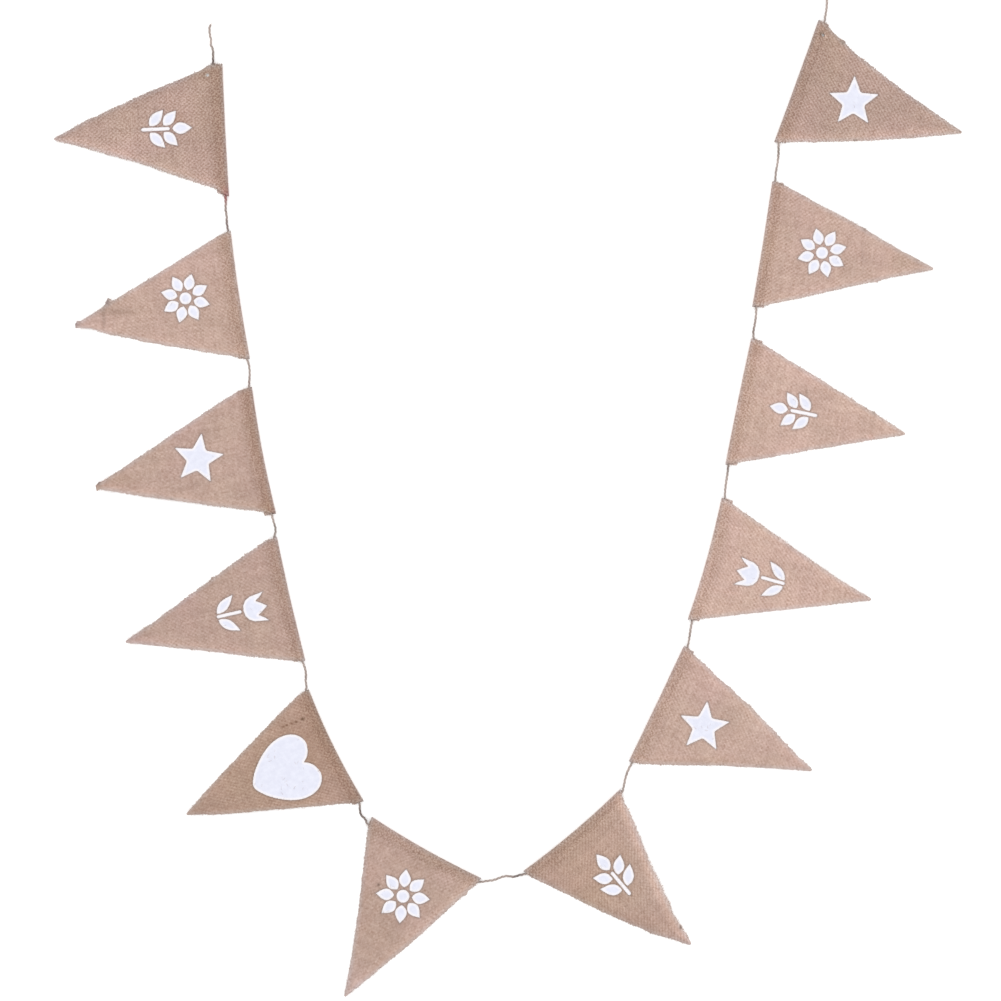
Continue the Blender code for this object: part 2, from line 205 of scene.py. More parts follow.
# Where the twine is darker or stained: the middle, the reach and what its colour is multiplied by there.
# The darkening where it goes into and out of the hems is painted shade; the reddish one is a stain.
SHADED_AND_STAINED_STRETCHES = table(
    "place reach colour",
    ((213.3, 61.5), 7.0, (0.42, 0.40, 0.40)),
    ((212.9, 51.0), 5.0, (0.85, 0.85, 0.85)),
    ((226.5, 197.0), 7.0, (0.80, 0.44, 0.47)),
    ((226.2, 210.0), 4.0, (0.80, 0.80, 0.80)),
    ((227.4, 226.0), 8.0, (0.56, 0.52, 0.54)),
    ((249.2, 383.0), 5.0, (0.82, 0.78, 0.78)),
    ((274.8, 529.0), 6.0, (0.72, 0.76, 0.76)),
    ((360.6, 812.5), 8.0, (0.50, 0.49, 0.50)),
    ((366.0, 820.0), 4.0, (0.62, 0.60, 0.60)),
    ((517.0, 876.0), 6.0, (0.52, 0.52, 0.54)),
    ((727.9, 469.0), 4.0, (0.78, 0.77, 0.78)),
    ((753.4, 331.0), 5.0, (0.76, 0.74, 0.74)),
    ((778.3, 149.5), 4.0, (0.76, 0.76, 0.74)),
    ((775.5, 172.0), 4.0, (0.85, 0.86, 0.88)),
)

# What the cloth's colour is multiplied by in its hem, at its fold, at its raw edges, at a hole's edge, where
# it is painted light in place of the light that comes through the hole, and around the paint.
HEM_TINT = (0.86, 0.83, 0.79)
FOLD_TINT = (0.92, 1.00, 1.07)
EDGE_TINT = (1.00, 1.11, 1.20)
HOLE_PAINTED_LIGHT = (1.1, 1.25, 1.3)
WET_TINT = (0.74, 0.78, 0.82)
PRESSED_FROM = 0.4  # how far round the fold the hem's and the fold's tints start
# Where each of them grows or fades, and over what length: out from the fold, then in from the raw edge and
# then out from the paint.
HEM_GROWS = (-1.0, 4.0)
HEM_FADES = (6.0, 13.0)
FOLD_FADES = (1.0, 4.0)
RIM_FADES = (4.0, 9.0)
EDGE_FADES = (0.8, 4.6)
WET_FADES = (0.4, 2.0)
# The same for the hem's stronger weave and its grain.
WEAVE_FADES = (8.0, 24.0)
GRAIN_FADES = (9.0, 8.0)

# How light each pennant's cloth is, how dark its hem, how strong its weave, how much more one diagonal of
# the weave shows than the other, how light it is towards its two raw edges, which is partly painted shade
# and painted sheen, and how ragged, and its motif, with the place and the size.
LOOKS = table(
    "tone hem weave lean rims ragged motif place size",
    (0.92, 1.35, 1.0, 0.1, (0.915, 1.125), (1.0, 1.0), "sprig", (166.5, 129.0), 50.0),
    (1.005, 0.95, 0.45, -0.4, (1.00, 1.06), (0.6, 0.7), "daisy", (185.7, 298.5), 50.0),
    (0.955, 1.45, 0.3, -0.3, (1.015, 1.085), (0.5, 0.7), "star", (198.5, 459.0), 52.0),
    (0.92, 0.9, 0.45, -0.3, (0.98, 1.095), (1.0, 0.6), "tulip", (242.2, 611.3), 52.0),
    (0.82, 1.0, 0.55, -0.3, (1.03, 1.035), (0.6, 0.6), "heart", (253.8, 786.8), 60.4),
    (0.935, 0.75, 0.3, -0.3, (0.99, 1.105), (0.6, 0.6), "daisy", (403.0, 896.0), 54.0),
    (0.935, 0.65, 0.6, -0.5, (0.925, 1.225), (0.6, 1.1), "sprig", (613.5, 874.5), 52.0),
    (1.03, 0.65, 0.4, -0.4, (1.01, 1.075), (0.5, 1.1), "star", (703.9, 726.5), 52.0),
    (1.125, 0.5, 0.5, -0.6, (1.015, 1.035), (0.5, 0.7), "tulip", (760.3, 577.0), 50.0),
    (1.10, 0.75, 0.45, -0.4, (1.02, 1.05), (0.6, 0.6), "sprig", (793.5, 411.0), 48.0),
    (1.055, 1.1, 0.5, 0.3, (1.055, 1.0), (0.6, 0.7), "daisy", (821.8, 253.0), 50.0),
    (0.905, 0.8, 0.92, -0.35, (1.17, 1.03), (0.6, 0.8), "star", (853.4, 102.0), 52.0),
)

# Ridges in a pennant's cloth: from where to where, how high and how wide.
CREASES = table(
    "flag start end height width",
    (1, (172.0, 136.0), (175.5, 167.0), 0.9, 2.0),
    (1, (156.5, 111.0), (157.5, 119.0), 0.8, 1.6),
    (2, (108.0, 301.0), (137.0, 322.0), 2.4, 3.5),
    (5, (296.0, 721.5), (270.0, 735.0), 0.7, 2.0),
    (7, (632.0, 812.0), (668.0, 890.0), 1.6, 6.0),
    (8, (795.0, 738.0), (790.0, 756.0), 0.8, 2.5),
)

# Where a raw edge stands out, or is hollow if its reach is below 0, and along how much of the edge.
BULGES = table(
    "flag place reach spread",
    (1, (209.3, 64.6), 1.8, 1.3),
    (2, (109.0, 303.5), 5.2, 3.2),
    (2, (79.0, 323.2), 1.5, 1.8),
    (2, (76.8, 328.2), 1.3, 1.8),
    (2, (93.0, 331.8), -2.4, 9.0),
    (3, (99.6, 482.4), 2.2, 1.3),
    (3, (97.7, 489.2), 2.8, 1.5),
    (4, (245.0, 554.0), 1.6, 2.0),
    (4, (212.0, 578.0), 1.6, 2.0),
    (4, (189.0, 593.0), 1.4, 2.0),
    (6, (465.0, 894.0), 1.8, 2.2),
    (7, (681.5, 926.5), 1.0, 2.4),
    (10, (875.0, 411.5), 2.0, 2.6),
    (11, (865.0, 228.0), 1.8, 3.0),
    (11, (877.0, 281.0), 1.4, 2.4),
    (12, (842.5, 42.5), 2.0, 2.4),
)

STENCIL_ROUGH = 0.22  # how far a motif's outline strays
RIM_RISE = 0.35  # the share of the paint's rise that its rim has
RISE_LENGTH = 1.2
NO_PAINT = 24.0  # the paint's wet rim starts this far out from the fold

# Soft stains, and places where the cloth is paler or darker: the middle, the reach each way and the colour.
# Some are painted shade, along creases and at curled edges, some painted sheen, and one painted light.
PATCHES = table(
    "flag place reach colour",
    (1, (226.5, 195.0), (3.6, 8.0), (0.85, 0.58, 0.60)),
    (1, (176.0, 119.0), (8.0, 7.0), (0.95, 0.90, 0.84)),
    (1, (206.0, 112.0), (12.0, 42.0), (0.95, 0.94, 0.92)),
    (1, (118.0, 150.0), (34.0, 9.0), (1.04, 1.03, 1.06)),
    (1, (198.0, 72.0), (12.0, 8.0), (0.94, 0.92, 0.86)),
    (1, (204.8, 75.5), (1.8, 3.6), (0.72, 0.70, 0.68)),
    (1, (210.6, 75.5), (2.0, 3.6), (0.84, 0.82, 0.80)),
    (1, (221.0, 194.0), (5.0, 5.0), (1.12, 1.12, 1.14)),
    (1, (210.0, 65.0), (6.0, 4.0), (1.00, 1.06, 1.12)),
    # painted shade along pennant 1's two creases
    (1, (172.5, 150.0), (1.5, 16.0), (0.90, 0.89, 0.88)),
    (1, (155.5, 115.0), (1.4, 6.0), (0.88, 0.87, 0.86)),
    # painted shade along pennant 2's crease and at its curled bump
    (2, (104.0, 317.0), (1.8, 15.0), (0.78, 0.77, 0.76)),
    (2, (122.0, 312.0), (20.0, 3.5), (0.86, 0.85, 0.83)),
    (2, (107.2, 301.6), (2.8, 4.2), (0.58, 0.58, 0.61)),
    (2, (90.0, 321.0), (11.0, 9.0), (1.02, 1.02, 1.06)),
    # painted shade at pennant 2's curled tip
    (2, (76.6, 324.5), (2.6, 4.5), (0.74, 0.75, 0.80)),
    (2, (205.0, 262.0), (22.0, 14.0), (1.03, 1.03, 1.05)),
    # painted shade at pennant 3's curled tip
    (3, (99.3, 482.4), (1.9, 2.3), (0.50, 0.52, 0.55)),
    (3, (99.6, 487.5), (3.2, 4.6), (0.80, 0.74, 0.68)),
    (3, (120.0, 479.0), (18.0, 8.0), (0.94, 0.94, 0.88)),
    (3, (172.0, 500.0), (1.8, 1.8), (0.62, 0.62, 0.62)),
    (3, (182.0, 424.0), (26.0, 16.0), (1.04, 1.02, 1.06)),
    (3, (267.0, 509.0), (10.0, 9.0), (0.92, 0.90, 0.86)),
    (3, (274.0, 511.0), (3.5, 3.5), (0.88, 0.78, 0.76)),
    (4, (146.0, 642.0), (22.0, 7.0), (1.05, 1.03, 1.07)),
    (4, (210.0, 603.0), (8.0, 9.0), (0.95, 0.94, 0.93)),
    (4, (185.0, 597.0), (22.0, 12.0), (1.03, 1.01, 1.05)),
    (5, (270.0, 770.0), (120.0, 90.0), (1.00, 0.955, 0.87)),
    (5, (305.0, 735.0), (24.0, 60.0), (0.99, 0.965, 0.94)),
    (5, (283.5, 726.6), (1.6, 1.3), (0.64, 0.58, 0.50)),
    (5, (287.0, 725.2), (1.6, 1.3), (0.62, 0.56, 0.48)),
    (5, (291.5, 723.4), (1.5, 1.3), (0.54, 0.46, 0.38)),
    (5, (296.0, 721.8), (1.7, 1.5), (0.40, 0.32, 0.24)),
    (5, (302.6, 718.9), (1.9, 1.6), (0.28, 0.22, 0.15)),
    (5, (215.0, 806.0), (26.0, 7.0), (0.91, 0.91, 0.89)),
    (5, (352.0, 799.0), (9.0, 7.0), (0.88, 0.87, 0.86)),
    (6, (352.0, 978.0), (14.0, 24.0), (1.05, 1.08, 1.12)),
    (6, (447.0, 878.0), (14.0, 11.0), (1.04, 1.03, 1.06)),
    (6, (388.0, 934.0), (20.0, 18.0), (0.95, 0.94, 0.93)),
    (6, (452.0, 865.0), (22.0, 6.0), (0.93, 0.92, 0.90)),
    (6, (366.0, 880.0), (10.0, 60.0), (0.97, 0.96, 0.95)),
    (6, (378.6, 884.4), (1.5, 1.6), (0.40, 0.38, 0.36)),
    (6, (434.7, 881.7), (1.5, 1.5), (0.80, 0.78, 0.76)),
    (6, (413.5, 850.8), (1.6, 1.4), (0.74, 0.72, 0.70)),
    (6, (419.0, 852.8), (1.6, 1.4), (0.76, 0.74, 0.72)),
    (6, (441.0, 865.6), (1.6, 1.4), (0.76, 0.74, 0.72)),
    (7, (590.0, 880.0), (46.0, 60.0), (0.965, 0.94, 0.87)),
    (7, (552.0, 864.0), (22.0, 12.0), (0.95, 0.94, 0.92)),
    # painted sheen along pennant 7's wavy right edge
    (7, (637.0, 840.0), (9.0, 18.0), (1.05, 1.06, 1.08)),
    (7, (658.0, 882.0), (10.0, 20.0), (1.08, 1.09, 1.12)),
    (7, (640.0, 922.0), (42.0, 10.0), (0.95, 0.93, 0.90)),
    (7, (620.0, 808.0), (11.0, 12.0), (1.05, 1.05, 1.04)),
    (7, (680.6, 926.8), (1.6, 1.8), (0.42, 0.40, 0.38)),
    (8, (716.0, 694.0), (22.0, 16.0), (1.03, 1.02, 1.04)),
    (8, (764.0, 730.0), (20.0, 12.0), (1.03, 1.04, 1.06)),
    (8, (700.0, 761.0), (50.0, 4.0), (0.95, 0.94, 0.91)),
    (8, (692.0, 757.0), (46.0, 1.6), (1.07, 1.07, 1.07)),
    (9, (734.0, 552.0), (7.0, 36.0), (1.02, 1.01, 1.03)),
    (9, (695.0, 615.0), (6.0, 7.0), (0.88, 0.86, 0.84)),
    (9, (732.0, 593.0), (6.0, 1.2), (1.12, 1.12, 1.12)),
    (9, (723.0, 512.0), (7.0, 9.0), (0.94, 0.93, 0.92)),
    (10, (757.0, 347.0), (6.0, 8.0), (0.90, 0.88, 0.84)),
    (10, (874.0, 412.5), (2.6, 2.2), (0.66, 0.66, 0.64)),
    (10, (870.5, 437.5), (3.0, 2.4), (1.06, 0.96, 0.95)),
    (10, (806.4, 392.6), (1.2, 3.0), (0.66, 0.65, 0.63)),
    (11, (898.0, 262.0), (11.0, 13.0), (0.93, 0.94, 0.90)),
    (11, (890.5, 262.0), (1.5, 12.0), (1.08, 1.08, 1.08)),
    (11, (862.0, 252.0), (1.3, 14.0), (0.90, 0.90, 0.90)),
    (11, (788.0, 222.0), (7.0, 30.0), (0.95, 0.96, 0.94)),
    (11, (812.0, 291.0), (26.0, 8.0), (1.04, 1.02, 1.05)),
    (11, (865.0, 229.0), (3.4, 2.4), (0.68, 0.68, 0.66)),
    (12, (832.0, 52.0), (14.0, 28.0), (0.94, 0.94, 0.89)),
    (12, (898.0, 97.0), (28.0, 16.0), (0.94, 0.94, 0.95)),
    (12, (908.0, 129.0), (42.0, 8.0), (1.02, 1.01, 1.02)),
    (12, (786.0, 130.0), (9.0, 12.0), (0.92, 0.90, 0.87)),
    (12, (843.0, 43.0), (3.0, 2.4), (0.66, 0.66, 0.64)),
    (12, (820.8, 34.6), (1.8, 2.4), (0.42, 0.41, 0.39)),
    # painted light in pennant 12's hole
    (12, (824.4, 36.6), (1.6, 1.6), (1.7, 1.8, 1.9)),
    (12, (855.0, 140.5), (1.8, 1.8), (0.62, 0.60, 0.58)),
)


def world(plan_x, plan_y, height):
    """A place in the plan and a height, both in millimetres, as a place in the world."""
    return Vector((plan_x - PLAN_CENTRE.x, PLAN_CENTRE.y - plan_y, height)) * MM


def smooth(share):
    """From 0 to 1 as the share does, softly at both ends."""
    share = min(1.0, max(0.0, share))
    return share * share * (3 - 2 * share)


def grow(at, start, length):
    """From 0 at the start, softly, to 1 a length further on."""
    return smooth((at - start) / length)


def fade(at, start, length):
    """From 1 at the start, softly, to 0 a length further on."""
    return 1 - grow(at, start, length)


def hermite(first, last, leave, arrive, at):
    """A place on the curve from first to last that leaves and arrives in those directions."""
    return (
        first * (2 * at**3 - 3 * at**2 + 1)
        + last * (3 * at**2 - 2 * at**3)
        + leave * (at**3 - 2 * at**2 + at)
        + arrive * (at**3 - at**2)
    )


def between(stations, values, at):
    """The value at a place among the stations, along straight lines between them."""
    for low, high, first, last in zip(stations, stations[1:], values, values[1:]):
        if at <= high:
            return first + (last - first) * (at - low) / (high - low)
    return values[-1]


def across_share(start, end, at):
    """How far a place is from start to end, from 0 to 1."""
    return min(1.0, max(0.0, (at - start) / max(end - start, 0.1)))


def of_flag(rows, number):
    """The rows of a table that are for one pennant."""
    return [row for row in rows if row.flag == number + 1]


def around(corners):
    """Each corner with the next one, round to the first."""
    return zip(corners, corners[1:] + corners[:1])


# ---------------------------------------------------------------- a pennant's shape

def hem_height(out, bump_end):
    """Height of the middle of the upper cloth: over the twine, down to the flap, then to the surface."""
    bump_start = bump_end - PAST_TWINE[-1] + PAST_TWINE[0]
    from_twine = OVER_TWINE - (OVER_TWINE - OVER_FLAP) * grow(out, bump_start, bump_end - bump_start)
    flap_end = max(FLAP_WIDTH, bump_end) + PAST_FLAP
    return ON_SURFACE + (from_twine - ON_SURFACE) * fade(out, flap_end, TO_SURFACE)


class Shape:
    """A pennant's cloth. along is measured on the fold from its start, and out is the way to the tip.

    woven is the way along the cloth itself: from the flap's free edge round the fold to the tip.
    """

    def __init__(self, number):
        pennant = PENNANTS[number]
        self.number = number
        self.row = pennant
        self.corner = Vector(pennant.start)
        fold = Vector(pennant.end) - self.corner
        to_tip = Vector(pennant.tip) - self.corner
        self.length = fold.length
        self.along = fold.normalized()
        self.out = Vector((-self.along.y, self.along.x))
        if self.out.dot(to_tip) < 0:
            self.out.negate()
        self.height = to_tip.dot(self.out)
        self.tip_along = to_tip.dot(self.along)
        self.woven_length = FLAP_LENGTH + FOLD_LENGTH + self.height - FOLD_CENTRE
        self.look = LOOKS[number]
        self.creases = of_flag(CREASES, number)
        self.bulges = of_flag(BULGES, number)

    def plan(self, along, out):
        return self.corner + self.along * along + self.out * out

    def bowed(self, share, out):
        """How far out a place really is, where the fold bows away from its straight line."""
        return out - self.row.fold_bow * 4 * share * (1 - share) * fade(out, *BOW_FADES)

    def twine_out(self, share):
        """How far out the twine lies in the hem."""
        return self.row.twine_in + (self.row.twine_out - self.row.twine_in) * share

    def cut_sides(self, out):
        """Where the two raw sides are, so far out, along the fold."""
        share = out / self.height
        half_tip = self.row.tip_width / 2
        start = share * (self.tip_along - half_tip)
        end = self.length - share * (self.length - self.tip_along - half_tip)
        start -= between(STATIONS, (0.0, *self.row.side_start, 0.0), share)
        end += between(STATIONS, (0.0, *self.row.side_end, 0.0), share)
        return start, end

    def flap_ends(self, out):
        """Where the flap's two ends are, so far out, along the fold."""
        share = out / FLAP_WIDTH
        return self.row.flap_start * share, self.length - self.row.flap_end * share

    def lift(self, share, out, along):
        """How high the cloth stands above its flat lie: its waves, its curled tip and its creases."""
        from_tip = self.height - out
        room = grow(out, *WAVES_GROW) * smooth(from_tip / WAVES_END)
        wave = 0.5 - 0.5 * math.cos(2 * math.pi * self.row.waves * share)
        waves = self.row.wave_height * wave * room
        curl = self.row.tip_lift * max(0.0, 1 - from_tip / CURL_ENDS) ** 2
        uneven = 0.3 + 0.6 * noise.noise((along * 0.045, out * 0.045, self.number * 7.3))
        ridges = sum(self.ridge(crease, along, out) for crease in self.creases)
        return waves + curl + max(0.0, uneven) * grow(out, *UNEVEN_GROWS) + ridges

    def ridge(self, crease, along, out):
        """Height of one crease, which fades towards its ends."""
        start, end = Vector(crease.start), Vector(crease.end)
        way = end - start
        from_start = self.plan(along, out) - start
        share = from_start.dot(way) / way.length_squared
        off_line = abs(from_start.cross(way)) / way.length
        ends = smooth(share / CREASE_FADE + 0.5) * smooth((1 - share) / CREASE_FADE + 0.5)
        return crease.height * ends * math.exp(-((off_line / crease.width) ** 2))

    def course(self, woven):
        """How far out the cloth is there, how far it has turned round the fold, and its angle there."""
        if woven <= FLAP_LENGTH:
            return FLAP_WIDTH - woven, 0.0, 1.5 * math.pi
        if woven < FLAP_LENGTH + FOLD_LENGTH:
            turned = (woven - FLAP_LENGTH) / FOLD_LENGTH
            angle = math.pi * (1.5 - turned)
            return FOLD_CENTRE + FOLD_RADIUS * math.cos(angle), turned, angle
        return FOLD_CENTRE + woven - FLAP_LENGTH - FOLD_LENGTH, 1.0, None

    def sides(self, woven):
        """Where the cloth's two sides are there, along the fold."""
        out, turned, _ = self.course(woven)
        flap_start, flap_end = self.flap_ends(out)
        cut_start, cut_end = self.cut_sides(out)
        return flap_start + (cut_start - flap_start) * turned, flap_end + (cut_end - flap_end) * turned

    def middle(self, along, woven):
        """The middle of the cloth: its share of the way across, out, height, and the normal's two parts."""
        out, turned, angle = self.course(woven)
        start, end = self.sides(woven)
        share = across_share(start, end, along)
        if turned == 0.0:
            return share, out, ON_SURFACE, 0.0, -1.0
        if turned < 1.0:
            lean, rise = math.cos(angle), math.sin(angle)
            return share, out, FOLD_CENTRE + FOLD_RADIUS * rise, lean, rise
        bump_end = self.twine_out(share) + PAST_TWINE[-1]
        height = hem_height(out, bump_end)
        slope = hem_height(out + 0.5, bump_end) - hem_height(out - 0.5, bump_end)
        steep = math.hypot(1.0, slope)
        return share, out, height + self.lift(share, out, along), -slope / steep, 1 / steep

    def points(self, along, woven, sunk=0.0, sunk_under=0.0):
        """A point of the upper and of the under face there, sunk below the crowns by so much."""
        share, out, height, lean, rise = self.middle(along, woven)
        found = []
        for half in (CLOTH / 2 - sunk, sunk_under - CLOTH / 2):
            place = self.plan(along, self.bowed(share, out + lean * half))
            found.append(Vector((place.x, place.y, height + rise * half)))
        return found

    def middle_point(self, along, woven):
        upper, under = self.points(along, woven)
        return (upper + under) / 2

    def woven_at(self, out):
        """The way along the upper cloth to where it is so far out."""
        return FLAP_LENGTH + FOLD_LENGTH + out - FOLD_CENTRE

    def over(self, plan_place):
        """Where a place in the plan is on the upper cloth, as along and woven."""
        way = Vector(plan_place) - self.corner
        along = way.dot(self.along)
        out = way.dot(self.out)
        start, end = self.cut_sides(out)
        share = across_share(start, end, along)
        return along, self.woven_at(2 * out - self.bowed(share, out))

    def stray(self, along, level):
        """How far the threads stray there, across and along the cloth."""
        def drift(width, length, layer):
            return noise.noise((along / width, level / length, self.number * 4.1 + layer))

        fine = FINE_DRIFT * (1.25 - self.look.weave)
        across = drift(38, 55, 0) * DRIFT + drift(10, 16, 20) * fine
        down = drift(55, 38, 40) * DRIFT + drift(16, 10, 60) * fine
        return across, down * smooth(level / ENDS_HELD) * smooth((self.woven_length - level) / ENDS_HELD)

    def own_threads(self, x, y):
        """A place in the weave, with each pennant in a stretch of cloth of its own."""
        return x + NEXT_STRETCH[0] * self.number + FIRST_THREAD, y + NEXT_STRETCH[1] * self.number

    def top(self, plan_place):
        """Height of the upper face over a place in the plan."""
        along, woven = self.over(plan_place)
        return self.points(along, woven)[0].z


# ---------------------------------------------------------------- the cloth's mesh

def ragged(shape, side, woven):
    """How far the raw edge stands out from its line: cut ends of single threads, longer bites and bulges."""
    thread, phase = divmod(woven / WEFT, 1)
    rough = shape.look.ragged[side - 1]
    bite = noise.noise((woven * 0.09, side * 9.7, shape.number * 3.1)) * BITE * rough
    end = noise.noise((thread * 7.77 + 0.5, side * 5.3, shape.number * 1.7)) * BITE * rough
    between_threads = NOTCH if phase < 0.25 or phase > 0.75 else 0.0
    return bite + end - between_threads + bulge(shape, side, woven)


def bulge(shape, side, woven):
    """How far the raw edge stands out there because of its bulges and hollows."""
    out, turned, _ = shape.course(woven)
    if turned < 1.0:
        return 0.0
    place = shape.plan(shape.cut_sides(out)[side - 1], out)
    return sum(
        row.reach * math.exp(-((place - Vector(row.place)).length / row.spread) ** 2)
        for row in shape.bulges
    )


def sunk(column, row):
    """How far the upper face lies below the crowns at a point of the grid of half threads."""
    if column % 2 and row % 2:
        return WEFT_CROWN if (column // 2 + row // 2) % 2 else 0.0
    if column % 2 or row % 2:
        return BESIDE_THREAD
    return IN_GAP


class ClothMesh:
    """One cloth: its upper and under face on the same grid of half threads, and the rim between them."""

    def __init__(self, shape):
        self.shape = shape
        self.flat = []  # along and woven of each point
        self.threads = []  # the same, counted in threads
        self.upper = []
        self.under = []
        self.tints = []
        self.weaves = []  # how strong the weave shows
        self.specks = []  # and how grainy the cloth is
        self.faces = []
        self.relief = LEAST_RELIEF + (1 - LEAST_RELIEF) * shape.look.weave
        self.painted = paint_edges(shape)
        self.patches = of_flag(PATCHES, shape.number)

    def uneven(self, boundary, level):
        """How far the boundary between two warp threads is moved by their unlike widths."""
        return noise.noise((boundary * 7.7, level / 50, self.shape.number * 2.3)) * UNEVEN

    def add(self, along, woven, threads, low=BESIDE_THREAD, low_under=BESIDE_THREAD):
        """A point of both faces, so far below the crowns. Returns its number."""
        upper, under = self.shape.points(along, woven, low, low_under)
        self.upper.append(upper)
        self.under.append(under)
        self.flat.append(Vector((along, woven)))
        self.threads.append(threads)
        self.tints.append(cloth_tint(self, along, woven, upper))
        out = self.shape.course(woven)[0]
        look = self.shape.look
        self.weaves.append(min(MOST_WEAVE, look.weave + HEM_WEAVE * fade(out, *WEAVE_FADES)))
        self.specks.append(0.25 + look.weave**2 + (0.8 + 0.4 * look.hem) * fade(out, *GRAIN_FADES))
        return len(self.flat) - 1

    def add_columns(self, row, level, start, end):
        """One row's points between the raw edges, by their columns."""
        columns = {}
        for column in range(math.floor(start / COLUMN), math.ceil(end / COLUMN) + 1):
            across, down = self.shape.stray(column * COLUMN, level)
            wider = self.uneven(column // 2, level) + self.uneven((column + 1) // 2, level)
            along = column * COLUMN + across + wider / 2
            if start + GRID_INSIDE < along < end - GRID_INSIDE:
                low, low_under = (sunk(side, row) * self.relief for side in (column, column + 2))
                columns[column] = self.add(along, level + down, (column / 2, row / 2), low, low_under)
        return columns

    def add_end(self, along, row, level):
        """One row's point at a raw edge."""
        across, down = self.shape.stray(along, level)
        return self.add(along, level + down, ((along - across) / WARP, row / 2))

    def add_rows(self):
        """The points of all rows of the grid, and the faces between them."""
        shape = self.shape
        rows = []
        for row in range(math.ceil(shape.woven_length / ROW) + 1):
            level = min(row * ROW, shape.woven_length)
            start, end = shape.sides(level)
            stands_out = ragged if end - start > NARROW else bulge
            start -= stands_out(shape, 1, level)
            end += stands_out(shape, 2, level)
            columns = self.add_columns(row, level, start, end)
            rows.append((self.add_end(start, row, level), columns, self.add_end(end, row, level)))
        for near, far in zip(rows, rows[1:]):
            self.join_rows(near, far)

    def join_rows(self, near, far):
        """Faces between two rows: squares where both have columns, and one wider face at each side."""
        near_start, near_row, near_end = near
        far_start, far_row, far_end = far
        shared = sorted(near_row.keys() & far_row.keys())
        if not shared:
            back = reversed(far_row.values())
            self.faces.append([near_start, *near_row.values(), near_end, far_end, *back, far_start])
            return
        first, last = shared[0], shared[-1]
        left = [near_row[column] for column in sorted(near_row) if column <= first]
        left += [far_row[column] for column in sorted(far_row, reverse=True) if column <= first]
        self.faces.append([near_start, *left, far_start])
        for here, there in zip(shared, shared[1:]):
            self.faces.append([near_row[here], near_row[there], far_row[there], far_row[here]])
        right = [far_row[column] for column in sorted(far_row, reverse=True) if column >= last]
        right += [near_row[column] for column in sorted(near_row) if column >= last]
        self.faces.append([near_end, far_end, *right])

    def open_edges(self):
        """The edges that only one face has, each in that face's direction."""
        edges = {edge for face in self.faces for edge in around(face)}
        return [edge for edge in edges if edge[::-1] not in edges]

    def open_hole(self, centre):
        """Opens a round hole through one layer, with the threads at its edge pushed aside and painted
        lighter.
        """
        centre = Vector(centre)
        reach = HOLE_RADIUS + HOLE_REACH
        near = {point for point, place in enumerate(self.flat) if (place - centre).length < reach}
        before = set(self.open_edges())
        self.faces = [face for face in self.faces if not near.issuperset(face)]
        for point in {edge[0] for edge in self.open_edges() if edge not in before}:
            place = centre + (self.flat[point] - centre).normalized() * HOLE_RADIUS
            self.flat[point] = place
            self.upper[point], self.under[point] = self.shape.points(*place, HOLE_RIM, BESIDE_THREAD)
            # painted light: the hole's edge is made lighter in place of the light that comes through the
            # hole
            self.tints[point] = HOLE_PAINTED_LIGHT

    def outwards(self, edges):
        """The way out of the cloth at each point of its rim."""
        ways = {}
        for here, there in edges:
            way = self.flat[there] - self.flat[here]
            for point in (here, there):
                ways[point] = ways.get(point, Vector((0.0, 0.0))) + Vector((way.y, -way.x))
        return {point: way.normalized() for point, way in ways.items()}

    def baked(self, place, half):
        """A place's spot in the bake map: the upper face has its left half, the under face its right."""
        across = (place.x - self.shape.length / 2) / MAP_WIDTH
        return across + (0.25, 0.75)[half], (place.y + MAP_MARGIN) / MAP_HEIGHT

    def all_faces(self):
        """Each face of the closed mesh, as its corners: a point and its places in the two maps."""
        count = len(self.flat)
        edges = self.open_edges()
        ways = self.outwards(edges)
        rims = {point: self.baked(self.flat[point] + way * MAP_RIM, 0) for point, way in ways.items()}
        upper, under = (
            [(point + half * count, self.woven_place(point, half), self.baked(place, half))
             for point, place in enumerate(self.flat)]
            for half in (0, 1)
        )
        faces = [[upper[point] for point in face] for face in self.faces]
        faces += [[under[point] for point in reversed(face)] for face in self.faces]
        for here, there in edges:
            below = [(point + count, upper[point][1], rims[point]) for point in (here, there)]
            faces.append([upper[there], upper[here], *below])
        along, out = self.shape.along, self.shape.out
        return faces if along.cross(out) < 0 else [face[::-1] for face in faces]

    def woven_place(self, point, half):
        """A point's place in the weave. Seen from below, the other set of threads is on top."""
        x, y = self.threads[point]
        return self.shape.own_threads(x + half, y)

    def object(self, name, finish):
        faces = self.all_faces()
        points = [*self.upper, *self.under]
        used = sorted({corner[0] for face in faces for corner in face})
        order = {point: number for number, point in enumerate(used)}
        flat = [point % len(self.flat) for point in used]
        data = bpy.data.meshes.new(name)
        corners = [[order[corner[0]] for corner in face] for face in faces]
        data.from_pydata([world(*points[point]) for point in used], [], corners)
        add_map(data, "cloth", [corner[1] for face in faces for corner in face])
        add_map(data, "OFBake", [corner[2] for face in faces for corner in face])
        add_tints(data, [self.tints[point] for point in flat])
        add_values(data, "weave", [self.weaves[point] for point in flat])
        add_values(data, "specks", [self.specks[point] for point in flat])
        add_values(data, "lean", [self.shape.look.lean] * len(flat))
        return add_object(name, data, finish)


def add_map(data, name, places):
    """Gives a mesh a map, with a place for each corner of each face."""
    layer = data.uv_layers.new(name=name)
    layer.data.foreach_set("uv", [part for place in places for part in place])


def add_tints(data, tints):
    """Gives a mesh the colour that its material is multiplied by, at each point."""
    layer = data.attributes.new("tint", "FLOAT_COLOR", "POINT")
    layer.data.foreach_set("color", [part for tint in tints for part in (*tint, 1.0)])


def add_values(data, name, values):
    """Gives a mesh a named value at each point."""
    layer = data.attributes.new(name, "FLOAT", "POINT")
    layer.data.foreach_set("value", values)


